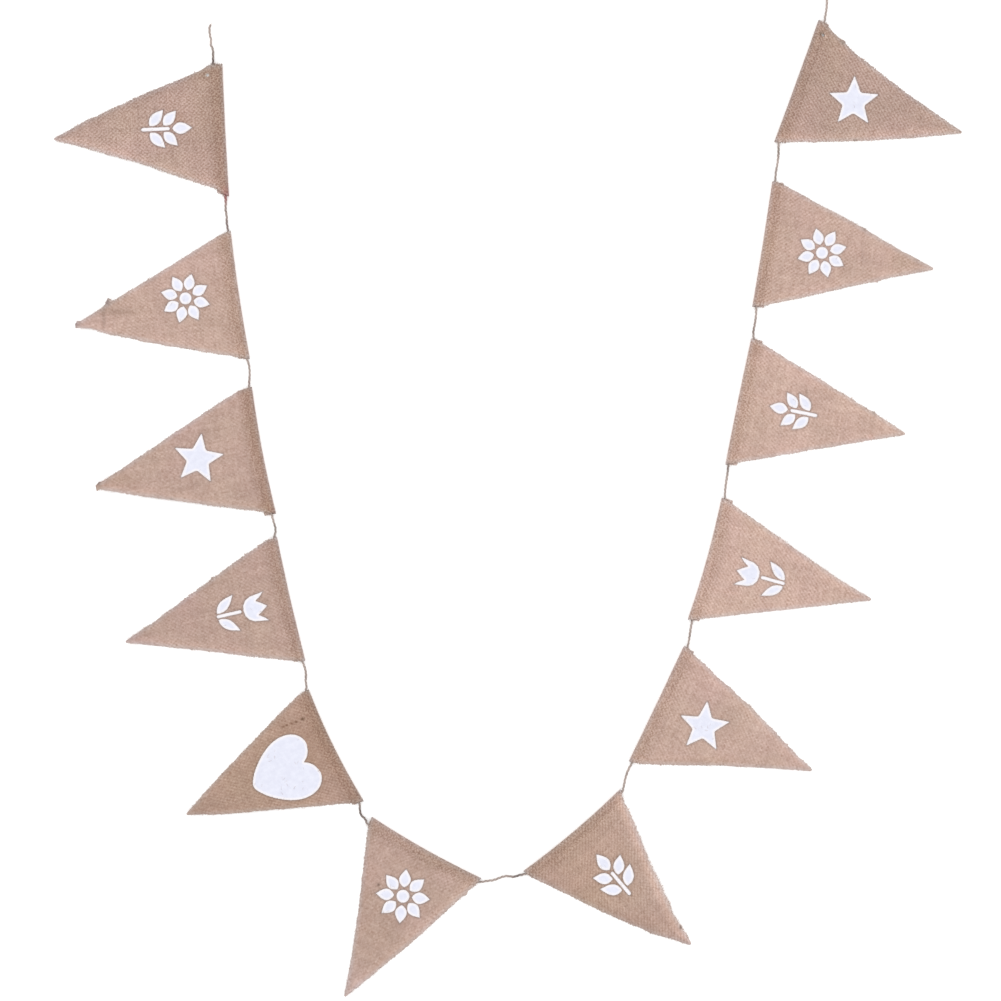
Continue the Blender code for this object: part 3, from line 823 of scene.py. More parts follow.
def add_object(name, data, finish):
    data.polygons.foreach_set("use_smooth", [True] * len(data.polygons))
    data.materials.append(finish)
    made = bpy.data.objects.new(name, data)
    bpy.context.scene.collection.objects.link(made)
    return made


def paint_edges(shape):
    """The motif's outline, ready to be searched."""
    places = [place for outline in motif_outlines(shape) for place in outline]
    tree = KDTree(len(places))
    for index, (x, y) in enumerate(places):
        tree.insert((x, y, 0.0), index)
    tree.balance()
    return tree


def cloth_tint(mesh, along, woven, place):
    """What the cloth's colour is multiplied by there: hem, fold, raw edges, partly painted shade and sheen,
    rim of the paint, and patches: stains, and painted shade, sheen and light.
    """
    shape = mesh.shape
    look = shape.look
    out, turned, _ = shape.course(woven)
    tint = (look.tone, look.tone, look.tone)
    start, end = shape.sides(woven)
    rim = look.rims[0] if along - start < end - along else look.rims[1]
    within = min(along - start, end - along)
    if turned >= PRESSED_FROM:
        tint = blend(tint, HEM_TINT, look.hem * grow(out, *HEM_GROWS) * fade(out, *HEM_FADES))
        tint = blend(tint, FOLD_TINT, fade(out, *FOLD_FADES))
    if turned == 1.0:
        # partly painted shade and sheen: each raw edge is made darker or lighter towards its side
        tint = blend(tint, (rim, rim, rim), fade(within, *RIM_FADES))
    tint = blend(tint, EDGE_TINT, fade(within, *EDGE_FADES))
    if out > NO_PAINT:
        from_paint = mesh.painted.find((place.x, place.y, 0.0))[2]
        tint = blend(tint, WET_TINT, fade(from_paint, *WET_FADES))
    for patch in mesh.patches:
        x, y = (place.x - patch.place[0]) / patch.reach[0], (place.y - patch.place[1]) / patch.reach[1]
        tint = blend(tint, patch.colour, math.exp(-x * x - y * y))
    return tint


def blend(tint, other, share):
    """A tint multiplied by a share of another one."""
    return tuple(part * (1 + (more - 1) * share) for part, more in zip(tint, other))


def hole_places(shape):
    """Where the pennant's hole goes through its layers, as along and woven."""
    if shape.number not in HOLES:
        return []
    along, woven = shape.over(HOLES[shape.number])
    out = shape.course(woven)[0]
    through_flap = [(along, FLAP_WIDTH - out)] if out < FLAP_WIDTH - HOLE_RADIUS else []
    return [(along, woven), *through_flap]


def flat_area(shape, steps=200):
    """The area that the cloth was cut to, in square metres."""
    step = shape.woven_length / steps
    widths = [end - start for start, end in (shape.sides((number + 0.5) * step) for number in range(steps))]
    return sum(widths) * step * MM * MM


def make_cloth(shape, finish):
    mesh = ClothMesh(shape)
    mesh.add_rows()
    for centre in hole_places(shape):
        mesh.open_hole(centre)
    cloth = mesh.object(f"cloth_{shape.number + 1:02d}", finish)
    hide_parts(f"flag_{shape.number + 1:02d}")
    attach(cloth, "root")
    return cloth


# ---------------------------------------------------------------- threads and fibres

DROOP = 0.6  # the share of its height that a cut thread end comes down
END_TAPER = (1.0, 1.0, 0.8, 0.35)
HAIR_TAPER = (0.8, 0.4)
# A tube's cell in the bake map: its edge and the room within, and in that room the tube's side and its caps.
CELL_EDGE = 0.05
CELL_ROOM = 0.9
TUBE_WIDTH = 0.85
TUBE_HEIGHT = 0.9
CAP_PLACE = 0.95
CAP_REACH = (0.04, 0.1)


class Fibres:
    """Many thin tapering tubes in one mesh. Each has a cell of its own in the bake map."""

    def __init__(self, rng):
        self.rng = rng
        self.points = []
        self.faces = []
        self.tubes = 0

    def add(self, places, radii, corners):
        """A closed tube through places in plan millimetres, with a radius at each."""
        first = len(self.points)
        for number, (place, radius) in enumerate(zip(places, radii)):
            way = places[min(number + 1, len(places) - 1)] - places[max(number - 1, 0)]
            across = way.cross(Vector((0.0, 0.0, 1.0)))
            across = across.normalized() if across.length > 1e-6 else Vector((1.0, 0.0, 0.0))
            up = across.cross(way.normalized())
            for corner in range(corners):
                turn = 2 * math.pi * corner / corners
                spot = place + (across * math.cos(turn) + up * math.sin(turn)) * radius
                self.points.append(world(spot.x, spot.y, max(spot.z, LOWEST)))
        steps = len(places) - 1
        for ring in range(steps):
            for corner in range(corners):
                self.faces.append([
                    (first + (ring + far) * corners + (corner + side) % corners, self.tubes,
                     (ring + far) / steps * TUBE_WIDTH, (corner + side) / corners * TUBE_HEIGHT)
                    for side, far in ((0, 0), (1, 0), (1, 1), (0, 1))
                ])
        for ring, level in ((0, 0.2), (steps, 0.7)):
            cap = []
            for corner in range(corners):
                turn = 2 * math.pi * corner / corners
                u = CAP_PLACE + CAP_REACH[0] * math.cos(turn)
                v = level + CAP_REACH[1] * math.sin(turn)
                cap.append((first + ring * corners + corner, self.tubes, u, v))
            self.faces.append(cap if ring else cap[::-1])
        self.tubes += 1

    def end(self, start, way, length, radius):
        """A cut thread end that leaves start and droops to the surface."""
        bend = self.rng.uniform(-0.5, 0.5)
        places = []
        for step in range(4):
            share = step / 3
            spot = start + turned_by(way, bend * share).to_3d() * length * share
            spot.z = max(radius, start.z * (1 - DROOP * share))
            places.append(spot)
        self.add(places, [radius * part for part in END_TAPER], 4)

    def hair(self, start, way, length, rise, steps=5):
        """A single curved fibre that rises from start and comes down again."""
        radius = self.rng.uniform(0.05, 0.09)
        bend = self.rng.uniform(-1.3, 1.3)
        places = [start.copy()]
        for step in range(1, steps + 1):
            side = turned_by(way, bend * step / steps)
            spot = places[-1] + side.to_3d() * length / steps
            spot.z = max(radius, start.z + rise * math.sin(math.pi * step / steps))
            places.append(spot)
        self.add(places, [radius] * (steps - 1) + [radius * part for part in HAIR_TAPER], 3)

    def object(self, name, finish):
        cells = math.ceil(math.sqrt(self.tubes))

        def in_map(cell, part):
            return (cell + CELL_EDGE + CELL_ROOM * part) / cells

        data = bpy.data.meshes.new(name)
        data.from_pydata(self.points, [], [[corner[0] for corner in face] for face in self.faces])
        add_map(data, "OFBake", [
            (in_map(tube % cells, u), in_map(tube // cells, v))
            for face in self.faces for _, tube, u, v in face
        ])
        return add_object(name, data, finish)


def turned_by(way, angle):
    """A direction in the plan turned by an angle."""
    way = way.copy()
    way.rotate(Matrix.Rotation(angle, 2))
    return way


def fray_edge(shape, fibres, side, way):
    """One raw edge: the weft threads' cut ends, the warp's where the edge leaves a thread, and hairs."""
    rng = fibres.rng
    rough = shape.look.ragged[side - 1]
    last_warp = None
    for weft in range(math.floor(shape.woven_length / WEFT)):
        woven = (weft + 0.5) * WEFT
        turned = shape.course(woven)[1]
        if 0.0 < turned < 1.0:
            continue
        edge = shape.sides(woven)[side - 1]
        inner = edge + (ragged(shape, side, woven) - END_INSIDE) * (1 if side == 2 else -1)
        start = shape.middle_point(inner, woven)
        lean = turned_by(way, rng.uniform(-0.4, 0.4))
        fibres.end(start, lean, 0.7 + min(2.0, rng.expovariate(2.2 / rough)), rng.uniform(0.26, 0.42))
        warp = math.floor(edge / WARP)
        if warp != last_warp and turned == 1.0:
            lean = turned_by(shape.out, rng.uniform(-0.5, 0.5))
            fibres.end(start, lean, rng.uniform(1.0, 2.2), rng.uniform(0.2, 0.34))
        last_warp = warp
        if rng.random() < 0.5:
            fibres.hair(start, turned_by(way, rng.uniform(-1.2, 1.2)), rng.uniform(1.5, 5.0), 0.2)
        for _ in range(3):
            place = shape.middle_point(inner, woven + rng.uniform(-1.2, 1.2))
            fibres.hair(place, turned_by(way, rng.uniform(-1.3, 1.3)), rng.uniform(1.2, 2.8), 0.1, 2)


def fray_hole(shape, fibres, centre, count=6):
    """Short thread ends that reach into a punched hole."""
    rng = fibres.rng
    for turn in range(count):
        spoke = Vector((math.cos(turn), math.sin(turn)))
        place = shape.middle_point(*(centre + spoke * (HOLE_RADIUS + 0.1)))
        inwards = -(shape.along * spoke.x + shape.out * spoke.y)
        fibres.end(place, turned_by(inwards, rng.uniform(-0.5, 0.5)), rng.uniform(0.4, 0.9), 0.15)


def add_fuzz(shape, fibres, count=70):
    """Loose fibres all over the upper cloth."""
    rng = fibres.rng
    for _ in range(count):
        out = shape.height * (1 - math.sqrt(rng.random()) * 0.95)
        low, high = shape.cut_sides(out)
        place = shape.middle_point(rng.uniform(low + 3, high - 3), shape.woven_at(out))
        place.z += CLOTH / 2
        way = turned_by(shape.out, rng.uniform(0, 2 * math.pi))
        fibres.hair(place, way, rng.uniform(2.0, 5.0), rng.uniform(0.2, 0.9))


def make_fray(shape, finish):
    """The cut ends of the threads along the raw edges, and loose fibres there and on the cloth."""
    fibres = Fibres(random.Random(100 + shape.number))
    for side, way in ((1, -shape.along), (2, shape.along)):
        fray_edge(shape, fibres, side, way)
    for centre in hole_places(shape)[:1]:
        fray_hole(shape, fibres, Vector(centre))
    add_fuzz(shape, fibres)
    made = fibres.object(f"fray_{shape.number + 1:02d}", finish)
    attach(made, "root")
    return made


# ---------------------------------------------------------------- motifs

def petal(foot, angle, length, width, steps=14):
    """A pointed leaf or petal from its foot, leaning by an angle from up, as a closed outline."""
    side = [
        (width / 2 * math.sin(math.pi * (step / steps) ** 0.8), length * step / steps)
        for step in range(steps + 1)
    ]
    outline = side + [(-x, y) for x, y in reversed(side[1:-1])]
    cosine, sine = math.cos(angle), math.sin(angle)
    return [(foot[0] + x * cosine + y * sine, foot[1] - x * sine + y * cosine) for x, y in outline]


def disc(centre, radius, steps=20):
    turns = [2 * math.pi * step / steps for step in range(steps)]
    return [(centre[0] + radius * math.cos(turn), centre[1] + radius * math.sin(turn)) for turn in turns]


def toward(here, there, share):
    """The place a share of the way from here to there."""
    return here[0] + (there[0] - here[0]) * share, here[1] + (there[1] - here[1]) * share


def daisy(size):
    """Eight petals round a disc, with a stencil's gaps between them."""
    reach = size / 2
    outlines = [disc((0.0, 0.0), reach * 0.24)]
    for number in range(8):
        angle = math.pi / 8 + number * math.pi / 4
        foot = (math.sin(angle) * reach * 0.33, math.cos(angle) * reach * 0.33)
        outlines.append(petal(foot, angle, reach * 0.67, reach * 0.43))
    return outlines


def star(size):
    """Five points with slightly hollow sides."""
    reach = size / 2
    corners = []
    for number in range(10):
        radius = reach if number % 2 == 0 else reach * 0.44
        turn = math.pi * number / 5
        corners.append((radius * math.sin(turn), radius * math.cos(turn)))
    parts = (0.06, 0.28, 0.5, 0.72, 0.94)
    return [[toward(here, there, part) for here, there in around(corners) for part in parts]]


def sprig(size):
    """A stem with two pairs of leaves and one on top, with a stencil's gaps between them."""
    half = size / 2
    stem = bar(-half, half * 0.14, 3.4)
    outlines = [stem, petal((0.0, half * 0.24), 0.0, half * 0.78, half * 0.46)]
    for level, reach in ((-0.66, 0.84), (-0.10, 0.76)):
        for side in (-1, 1):
            outlines.append(petal((side * 3.4, half * level), side * 0.82, half * reach, half * 0.42))
    return outlines


def bar(low, high, width):
    """An upright bar with rounded ends."""
    half = width / 2
    turns = [math.pi * step / 6 for step in range(7)]
    top = [(half * math.cos(turn), high - half + half * math.sin(turn)) for turn in turns]
    return top + [(-x, low + high - y) for x, y in top]


def tulip(size):
    """A three-pointed cup over a stem with two leaves."""
    half = size / 2
    side = [(0.0, 0.0), (0.17, 0.03), (0.34, 0.16), (0.43, 0.36), (0.46, 0.60), (0.50, 0.93), (0.37, 0.78),
            (0.25, 0.56), (0.13, 0.78)]
    cup = side + [(0.0, 0.98)] + [(-x, y) for x, y in reversed(side[1:])]
    stem = bar(-half, -half * 0.02, 3.2)
    outlines = [stem, [(x * half * 1.12, half * 0.06 + y * half * 0.94) for x, y in cup]]
    for lean in (-1, 1):
        outlines.append(petal((lean * 3.2, -half * 0.96), lean * 0.66, half * 0.94, half * 0.36))
    return outlines


def heart(size):
    """A heart whose point is the place that it is drawn from."""
    side = [(0.0, 0.0), (0.17, 0.09), (0.32, 0.24), (0.44, 0.41), (0.52, 0.59), (0.545, 0.77), (0.51, 0.93),
            (0.42, 1.045), (0.29, 1.10), (0.15, 1.07), (0.05, 1.0)]
    outline = side + [(0.0, 0.93)] + [(-x, y) for x, y in reversed(side[1:])]
    closed = outline[-1:] + outline + outline[:2]
    points = []
    for spans in zip(closed, closed[1:], closed[2:], closed[3:]):
        for step in range(4):
            points.append(tuple(
                hermite(first, last, (last - before) / 2, (after - first) / 2, step / 4) * size
                for before, first, last, after in zip(*spans)
            ))
    return [points]


MOTIFS = {"daisy": daisy, "star": star, "sprig": sprig, "tulip": tulip, "heart": heart}


def inside(place, outline):
    """True where a place lies within a closed outline."""
    found = False
    x, y = place
    for (x1, y1), (x2, y2) in around(outline):
        if (y1 > y) != (y2 > y) and x < (x2 - x1) * (y - y1) / (y2 - y1) + x1:
            found = not found
    return found


def divided(outline, longest):
    """The outline with points added so that no step is longer than that."""
    points = []
    for here, there in around(outline):
        steps = max(1, math.ceil(math.dist(here, there) / longest))
        points += [toward(here, there, step / steps) for step in range(steps)]
    return points


def motif_outlines(shape):
    """The outlines of a pennant's motif in the plan. Up is towards the fold."""
    look = shape.look
    up = -shape.out
    right = Vector((-up.y, up.x))
    outlines = []
    for local in MOTIFS[look.motif](look.size):
        outline = []
        for x, y in divided(local, 1.0):
            x += STENCIL_ROUGH * noise.noise((x * 0.9, y * 0.9, shape.number * 4.0))
            y += STENCIL_ROUGH * noise.noise((x * 0.9, y * 0.9, shape.number * 4.0 + 50))
            place = Vector(look.place) + right * x + up * y
            outline.append((place.x, place.y))
        outlines.append(outline)
    return outlines


def skin(shape, outline, points, faces, step=2.0, rise=0.14, depth=0.3, margin=0.7):
    """Adds the points and faces of a thin closed layer on the cloth inside one outline."""
    spots = [Vector(place) for place in outline]
    low_x, high_x = min(x for x, _ in outline), max(x for x, _ in outline)
    low_y, high_y = min(y for _, y in outline), max(y for _, y in outline)
    for column in range(math.floor((high_x - low_x) / step) + 1):
        for row in range(math.floor((high_y - low_y) / step) + 1):
            place = (low_x + step * (column + 0.5 * (row % 2)), low_y + step * row)
            if inside(place, outline) and min(math.dist(place, edge) for edge in outline) > margin:
                spots.append(Vector(place))
    count = len(outline)
    edges = [(number, (number + 1) % count) for number in range(count)]
    flat, _, triangles, *_ = delaunay_2d_cdt(spots, edges, [], 1, 0.0001)
    first = len(points)
    for place in flat:
        near_edge = min(math.dist(place, edge) for edge in outline)
        up = rise * smooth(RIM_RISE + near_edge / RISE_LENGTH)
        points.append(world(place.x, place.y, shape.top(place) + up))
    for place in flat:
        points.append(world(place.x, place.y, shape.top(place) - depth))
    size = len(flat)
    faces += [[first + corner for corner in triangle] for triangle in triangles]
    faces += [[first + size + corner for corner in reversed(triangle)] for triangle in triangles]
    sides = dict.fromkeys(side for triangle in triangles for side in around(triangle))
    for here, there in sides:
        if (there, here) not in sides:
            faces.append([first + there, first + here, first + size + here, first + size + there])


def face_outwards(data):
    """Turns the faces of a closed mesh so that they all point outwards."""
    mesh = bmesh.new()
    mesh.from_mesh(data)
    bmesh.ops.recalc_face_normals(mesh, faces=mesh.faces)
    mesh.to_mesh(data)
    mesh.free()


def make_motif(shape, finish):
    """The paint of one motif, with a map of the weave under it and how far in from its rim each point is."""
    points = []
    faces = []
    for outline in motif_outlines(shape):
        skin(shape, outline, points, faces)
    name = f"motif_{shape.number + 1:02d}"
    data = bpy.data.meshes.new(name)
    data.from_pydata(points, [], faces)
    face_outwards(data)
    edges = paint_edges(shape)
    places = []
    inner = []
    for vertex in data.vertices:
        plan_place = Vector((vertex.co.x / MM + PLAN_CENTRE.x, PLAN_CENTRE.y - vertex.co.y / MM))
        along, woven = shape.over(plan_place)
        across, down = shape.stray(along, woven)
        places.append(shape.own_threads((along - across) / WARP, (woven - down) / WEFT))
        inner.append(edges.find((*plan_place, 0.0))[2])
    add_map(data, "cloth", [places[loop.vertex_index] for loop in data.loops])
    add_values(data, "inner", inner)
    made = add_object(name, data, finish)
    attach(made, "root")
    return made


# ---------------------------------------------------------------- the twine

def in_hem(shape):
    """The twine's route through one hem."""
    places = []
    for share in IN_HEM:
        place = shape.plan(shape.length * share, shape.bowed(share, shape.twine_out(share)))
        places.append((place.x, place.y, FOLD_CENTRE))
    return places


def twine_route(shapes):
    route = list(LEFT_END)
    for shape, gap in zip(shapes, (*GAPS, RIGHT_END)):
        route += in_hem(shape)
        route += gap
    return [Vector(place) for place in route]


def smooth_curve(places, steps):
    """Points on the centripetal Catmull-Rom curve through the places."""
    padded = [places[0] * 2 - places[1], *places, places[-1] * 2 - places[-2]]
    points = [places[0]]
    for before, first, last, after in zip(padded, padded[1:], padded[2:], padded[3:]):
        near = math.sqrt((first - before).length)
        span = math.sqrt((last - first).length)
        far = math.sqrt((after - last).length)
        leave = (last - first) / span - (last - before) / (near + span) + (first - before) / near
        arrive = (after - last) / far - (after - first) / (span + far) + (last - first) / span
        for step in range(1, steps + 1):
            points.append(hermite(first, last, leave * span, arrive * span, step / steps))
    return points


def evenly(points, step):
    """Points at equal steps along the line through the points."""
    spaced = [points[0]]
    left = step
    for here, there in zip(points, points[1:]):
        way = there - here
        done = 0.0
        while way.length - done >= left:
            done += left
            spaced.append(here + way.normalized() * done)
            left = step
        left -= way.length - done
    return spaced


def ply_reach(turn):
    """How far from the middle the outline of twisted plies is, as a share of their common radius."""
    offset = 1 - PLY_RADIUS
    off_centre = (turn + math.pi / PLIES) % (2 * math.pi / PLIES) - math.pi / PLIES
    across = offset * math.sin(off_centre)
    return offset * math.cos(off_centre) + math.sqrt(max(0.0, PLY_RADIUS**2 - across**2))


def twine_tint(centre, gone):
    """What the twine's colour is multiplied by there: uneven all along, stained in one place and darker in
    others, with painted shade where it goes into and out of the hems.
    """
    light = 1.0 + 0.22 * noise.noise((gone / 11, 2.2, 0.0)) + 0.18 * noise.noise((gone / 4, 7.7, 0.0))
    tint = (light, light, light)
    for stretch in SHADED_AND_STAINED_STRETCHES:
        away = (centre.xy - Vector(stretch.place)).length / stretch.reach
        tint = blend(tint, stretch.colour, math.exp(-away * away))
    return tint


def twine_fullness(centre, gone):
    """How full the twine is there. Loose cloth threads wrap it below the first pennant."""
    away = (centre.xy - Vector(WRAPPED_PLACE)).length / WRAPPED_REACH
    uneven = 0.12 * noise.noise((gone * 0.12, 3.3, 0.0)) + 0.08 * noise.noise((gone * 0.4, 8.1, 0.0))
    return 0.93 + uneven + 0.35 * math.exp(-away * away)


def make_fluff(centres, finish, share=0.8, at_end=14):
    """Loose fibres along the twine outside the hems, and splayed ones at its ends."""
    fibres = Fibres(random.Random(77))
    rng = fibres.rng
    for here, there in zip(centres[2::3], centres[3::3]):
        if here.z < IN_HEM_HEIGHT and rng.random() < share:
            way = turned_by((there - here).xy.normalized(), rng.choice((-1, 1)) * rng.uniform(0.2, 1.3))
            fibres.hair(here, way, rng.uniform(1.5, 4.0), 0.4)
    for tail, before in ((centres[0], centres[3]), (centres[-1], centres[-4])):
        way = (tail - before).xy.normalized()
        for _ in range(at_end):
            fibres.hair(tail, turned_by(way, rng.uniform(-1.2, 1.2)), rng.uniform(1.0, 4.0), 0.3)
    made = fibres.object("twine_fluff", finish)
    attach(made, "root")
    return made


def twine_rings(centres):
    """The points of the rings round the twine's middle, and each point's depth in the plies and tint."""
    points = []
    depths = []
    tints = []
    across = Vector((0.0, 0.0, 1.0)).cross(centres[1] - centres[0]).normalized()
    for number, centre in enumerate(centres):
        way = centres[min(number + 1, len(centres) - 1)] - centres[max(number - 1, 0)]
        way.normalize()
        across = (across - way * across.dot(way)).normalized()
        up = way.cross(across)
        gone = number * RING_STEP
        thick = PLY_REACH * twine_fullness(centre, gone)
        twist = 2 * math.pi * gone / TWIST_LENGTH + 1.2 * noise.noise((gone * 0.03, 5.5, 0.0))
        tint = twine_tint(centre, gone)
        for corner in range(RING_POINTS):
            turn = 2 * math.pi * corner / RING_POINTS
            reach = ply_reach(turn)
            spot = centre + (across * math.cos(turn + twist) + up * math.sin(turn + twist)) * thick * reach
            points.append(world(spot.x, spot.y, max(spot.z, LOWEST)))
            depths.append(reach)
            tints.append(tint)
    return points, depths, tints


def twine_faces(rings):
    """The faces between the rings and over both ends, and their corners' places in the strand map."""
    faces = []
    maps = []
    for number in range(rings - 1):
        for corner in range(RING_POINTS):
            corners = [(corner + side, number + far) for side, far in ((0, 0), (0, 1), (1, 1), (1, 0))]
            faces.append([far * RING_POINTS + side % RING_POINTS for side, far in corners])
            maps += [(side / RING_POINTS, far * RING_STEP / STRAND_MAP) for side, far in corners]
    last_ring = range((rings - 1) * RING_POINTS, rings * RING_POINTS)
    for cap in (list(range(RING_POINTS)), list(reversed(last_ring))):
        faces.append(cap)
        places = [divmod(point, RING_POINTS) for point in cap]
        maps += [(corner / RING_POINTS, number * RING_STEP / STRAND_MAP) for number, corner in places]
    return faces, maps


def make_twine(shapes, finish, fluff_finish):
    """The three-ply twine along its route, from its left end to its right one."""
    centres = evenly(smooth_curve(twine_route(shapes), ROUTE_STEPS), RING_STEP)
    points, depths, tints = twine_rings(centres)
    faces, maps = twine_faces(len(centres))
    data = bpy.data.meshes.new("twine_plies")
    data.from_pydata(points, [], faces)
    add_map(data, "strand", maps)
    add_values(data, "depth", depths)
    add_tints(data, tints)
    made = add_object("twine_plies", data, finish)
    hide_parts("twine")
    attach(made, "root")
    make_fluff(centres, fluff_finish)


# ---------------------------------------------------------------- materials

DARK_JUTE = (0.345, 0.215, 0.168, 1.0)
PALE_JUTE = (0.60, 0.445, 0.385, 1.0)
GREENISH = (0.99, 1.004, 0.985, 1.0)
REDDISH = (1.008, 0.994, 1.01, 1.0)
THIN_PAINT = (0.685, 0.695, 0.80, 1.0)
THICK_PAINT = (0.745, 0.755, 0.85, 1.0)
PAINT_RIM = (0.87, 0.83, 0.84, 1.0)
DARK_TWINE = (0.34, 0.27, 0.24, 1.0)
PALE_TWINE = (0.58, 0.485, 0.445, 1.0)
DARK_FIBRE = (0.42, 0.29, 0.235, 1.0)
PALE_FIBRE = (0.66, 0.52, 0.45, 1.0)
DARK_FLOOR = (0.97, 0.97, 0.97, 1.0)
WHITE_FLOOR = (0.99, 0.99, 0.99, 1.0)


class Graph:
    """A material's nodes. Each method adds a node and returns its output."""

    def __init__(self, name):
        self.material = bpy.data.materials.new(name)
        self.material.use_nodes = True
        self.nodes = self.material.node_tree.nodes
        self.links = self.material.node_tree.links
        self.shader = self.nodes["Principled BSDF"]

    def give(self, socket, value):
        if isinstance(value, bpy.types.NodeSocket):
            self.links.new(value, socket)
        else:
            socket.default_value = value

    def node(self, kind, inputs, output=0, **settings):
        """The output of a new node, given its settings and what its inputs take, by name or by number."""
        node = self.nodes.new(f"ShaderNode{kind}")
        for name, setting in settings.items():
            setattr(node, name, setting)
        for key, value in inputs.items():
            self.give(node.inputs[key], value)
        return node.outputs[output]

    def math(self, operation, *values):
        return self.node("Math", dict(enumerate(values)), operation=operation)

    def vector(self, operation, *values):
        return self.node("VectorMath", dict(enumerate(values)), operation=operation)

    def map(self, name):
        return self.node("UVMap", {}, uv_map=name)

    def attribute(self, name, output="Fac"):
        return self.node("Attribute", {}, output, attribute_name=name)

    def place(self):
        return self.node("TexCoord", {}, "Object")

    def parts(self, vector):
        return self.node("SeparateXYZ", {0: vector}).node.outputs

    def joined(self, x, y, z=0.0):
        return self.node("CombineXYZ", {0: x, 1: y, 2: z})

    def noise(self, vector, scale, detail=2.0, rough=0.5):
        inputs = {"Vector": vector, "Scale": scale, "Detail": detail, "Roughness": rough}
        return self.node("TexNoise", inputs, "Fac")

    def stretched(self, vector, scales, *noise):
        """Noise whose grain is longer one way."""
        return self.noise(self.vector("MULTIPLY", vector, scales), *noise)

    def random(self, x, y):
        return self.node("TexWhiteNoise", {"Vector": self.joined(x, y)}, "Value", noise_dimensions="2D")

    def range(self, value, low, high, to_low=0.0, to_high=1.0):
        inputs = dict(enumerate((value, low, high, to_low, to_high)))
        return self.node("MapRange", inputs, interpolation_type="SMOOTHSTEP")

    def mix(self, share, first, last):
        return self.node("Mix", {0: share, 6: first, 7: last}, 2, data_type="RGBA")

    def mix_values(self, share, first, last):
        return self.node("Mix", {0: share, 2: first, 3: last}, data_type="FLOAT")

    def multiply(self, first, last):
        return self.node("Mix", {0: 1.0, 6: first, 7: last}, 2, data_type="RGBA", blend_type="MULTIPLY")

    def shade(self, colour, light):
        """The colour, lighter or darker by a value."""
        return self.multiply(colour, self.joined(light, light, light))

    def bump(self, height, strength, distance):
        return self.node("Bump", {"Height": height, "Strength": strength, "Distance": distance})

    def finish(self, colour, roughness, normal):
        self.give(self.shader.inputs["Base Color"], colour)
        self.give(self.shader.inputs["Roughness"], roughness)
        self.give(self.shader.inputs["Normal"], normal)
        self.shader.inputs["Specular IOR Level"].default_value = 0.25
        return self.material


def weave(graph):
    """The plain weave: its height, how far the warp is over the weft, each thread's tone, and the map."""
    woven = graph.map("cloth")
    x, y, _ = graph.parts(woven)
    warp = graph.math("FLOOR", x)
    weft = graph.math("FLOOR", y)
    over = waves(graph, "SINE", x, y)
    warp_slub = graph.stretched(graph.joined(warp, y), (3.7, 0.16, 0.0), 1.0, 1.0)
    weft_slub = graph.stretched(graph.joined(x, weft), (0.16, 3.7, 0.0), 1.0, 1.0)
    warp_height = thread_height(graph, x, warp, over, 0.5, warp_slub)
    weft_height = thread_height(graph, y, weft, over, -0.5, weft_slub)
    height = graph.math("MAXIMUM", warp_height, weft_height)
    on_top = graph.range(graph.math("SUBTRACT", warp_height, weft_height), -0.35, 0.35)
    tone = graph.mix_values(on_top, weft_slub, warp_slub)
    return height, over, tone, woven


def waves(graph, kind, x, y):
    """The product of a wave along x and one along y, each two threads long."""
    along_x = graph.math(kind, graph.math("MULTIPLY", x, math.pi))
    return graph.math("MULTIPLY", along_x, graph.math(kind, graph.math("MULTIPLY", y, math.pi)))


def thread_height(graph, across, thread, over, sign, slub):
    """Height of one set of threads: round across, and in turn over and under the other set."""
    off_centre = graph.math("SUBTRACT", graph.math("SUBTRACT", across, thread), 0.5)
    wide = graph.range(slub, 0.3, 0.7, 0.44, 0.54)
    share = graph.math("DIVIDE", off_centre, wide)
    crown = graph.math("SUBTRACT", 1.0, graph.math("MULTIPLY", share, share))
    return graph.math("MULTIPLY_ADD", over, sign, graph.math("MULTIPLY", crown, 0.7))


def burlap_light(graph, over, tone, fibre, woven):
    """How light the cloth is: its threads, its weave, and its grain, specks and odd threads."""
    x, y, _ = graph.parts(woven)
    even = graph.attribute("weave")
    light = graph.math("MULTIPLY_ADD", tone, 0.45, graph.math("MULTIPLY", fibre, 0.45))
    leaning = graph.math("MULTIPLY_ADD", waves(graph, "COSINE", x, y), graph.attribute("lean"), over)
    light = graph.math("MULTIPLY_ADD", graph.math("MULTIPLY", leaning, even), 0.145, light)
    grain = graph.noise(graph.vector("ADD", woven, (40.0, 17.0, 0.0)), 0.62, 2.0, 0.7)
    light = graph.math("MULTIPLY_ADD", graph.math("SUBTRACT", grain, 0.5), 0.36, light)
    specks = graph.noise(graph.vector("ADD", woven, (9.0, 31.0, 0.0)), 1.35, 1.0, 0.6)
    specks = graph.math("MULTIPLY", graph.math("SUBTRACT", specks, 0.5), graph.attribute("specks"))
    light = graph.math("MULTIPLY_ADD", specks, 0.95, light)
    chance = graph.math("SUBTRACT", graph.random(graph.math("FLOOR", x), graph.math("FLOOR", y)), 0.5)
    chance = graph.math("MULTIPLY", chance, graph.math("SUBTRACT", 1.15, even))
    return graph.math("MULTIPLY_ADD", chance, 0.12, light)


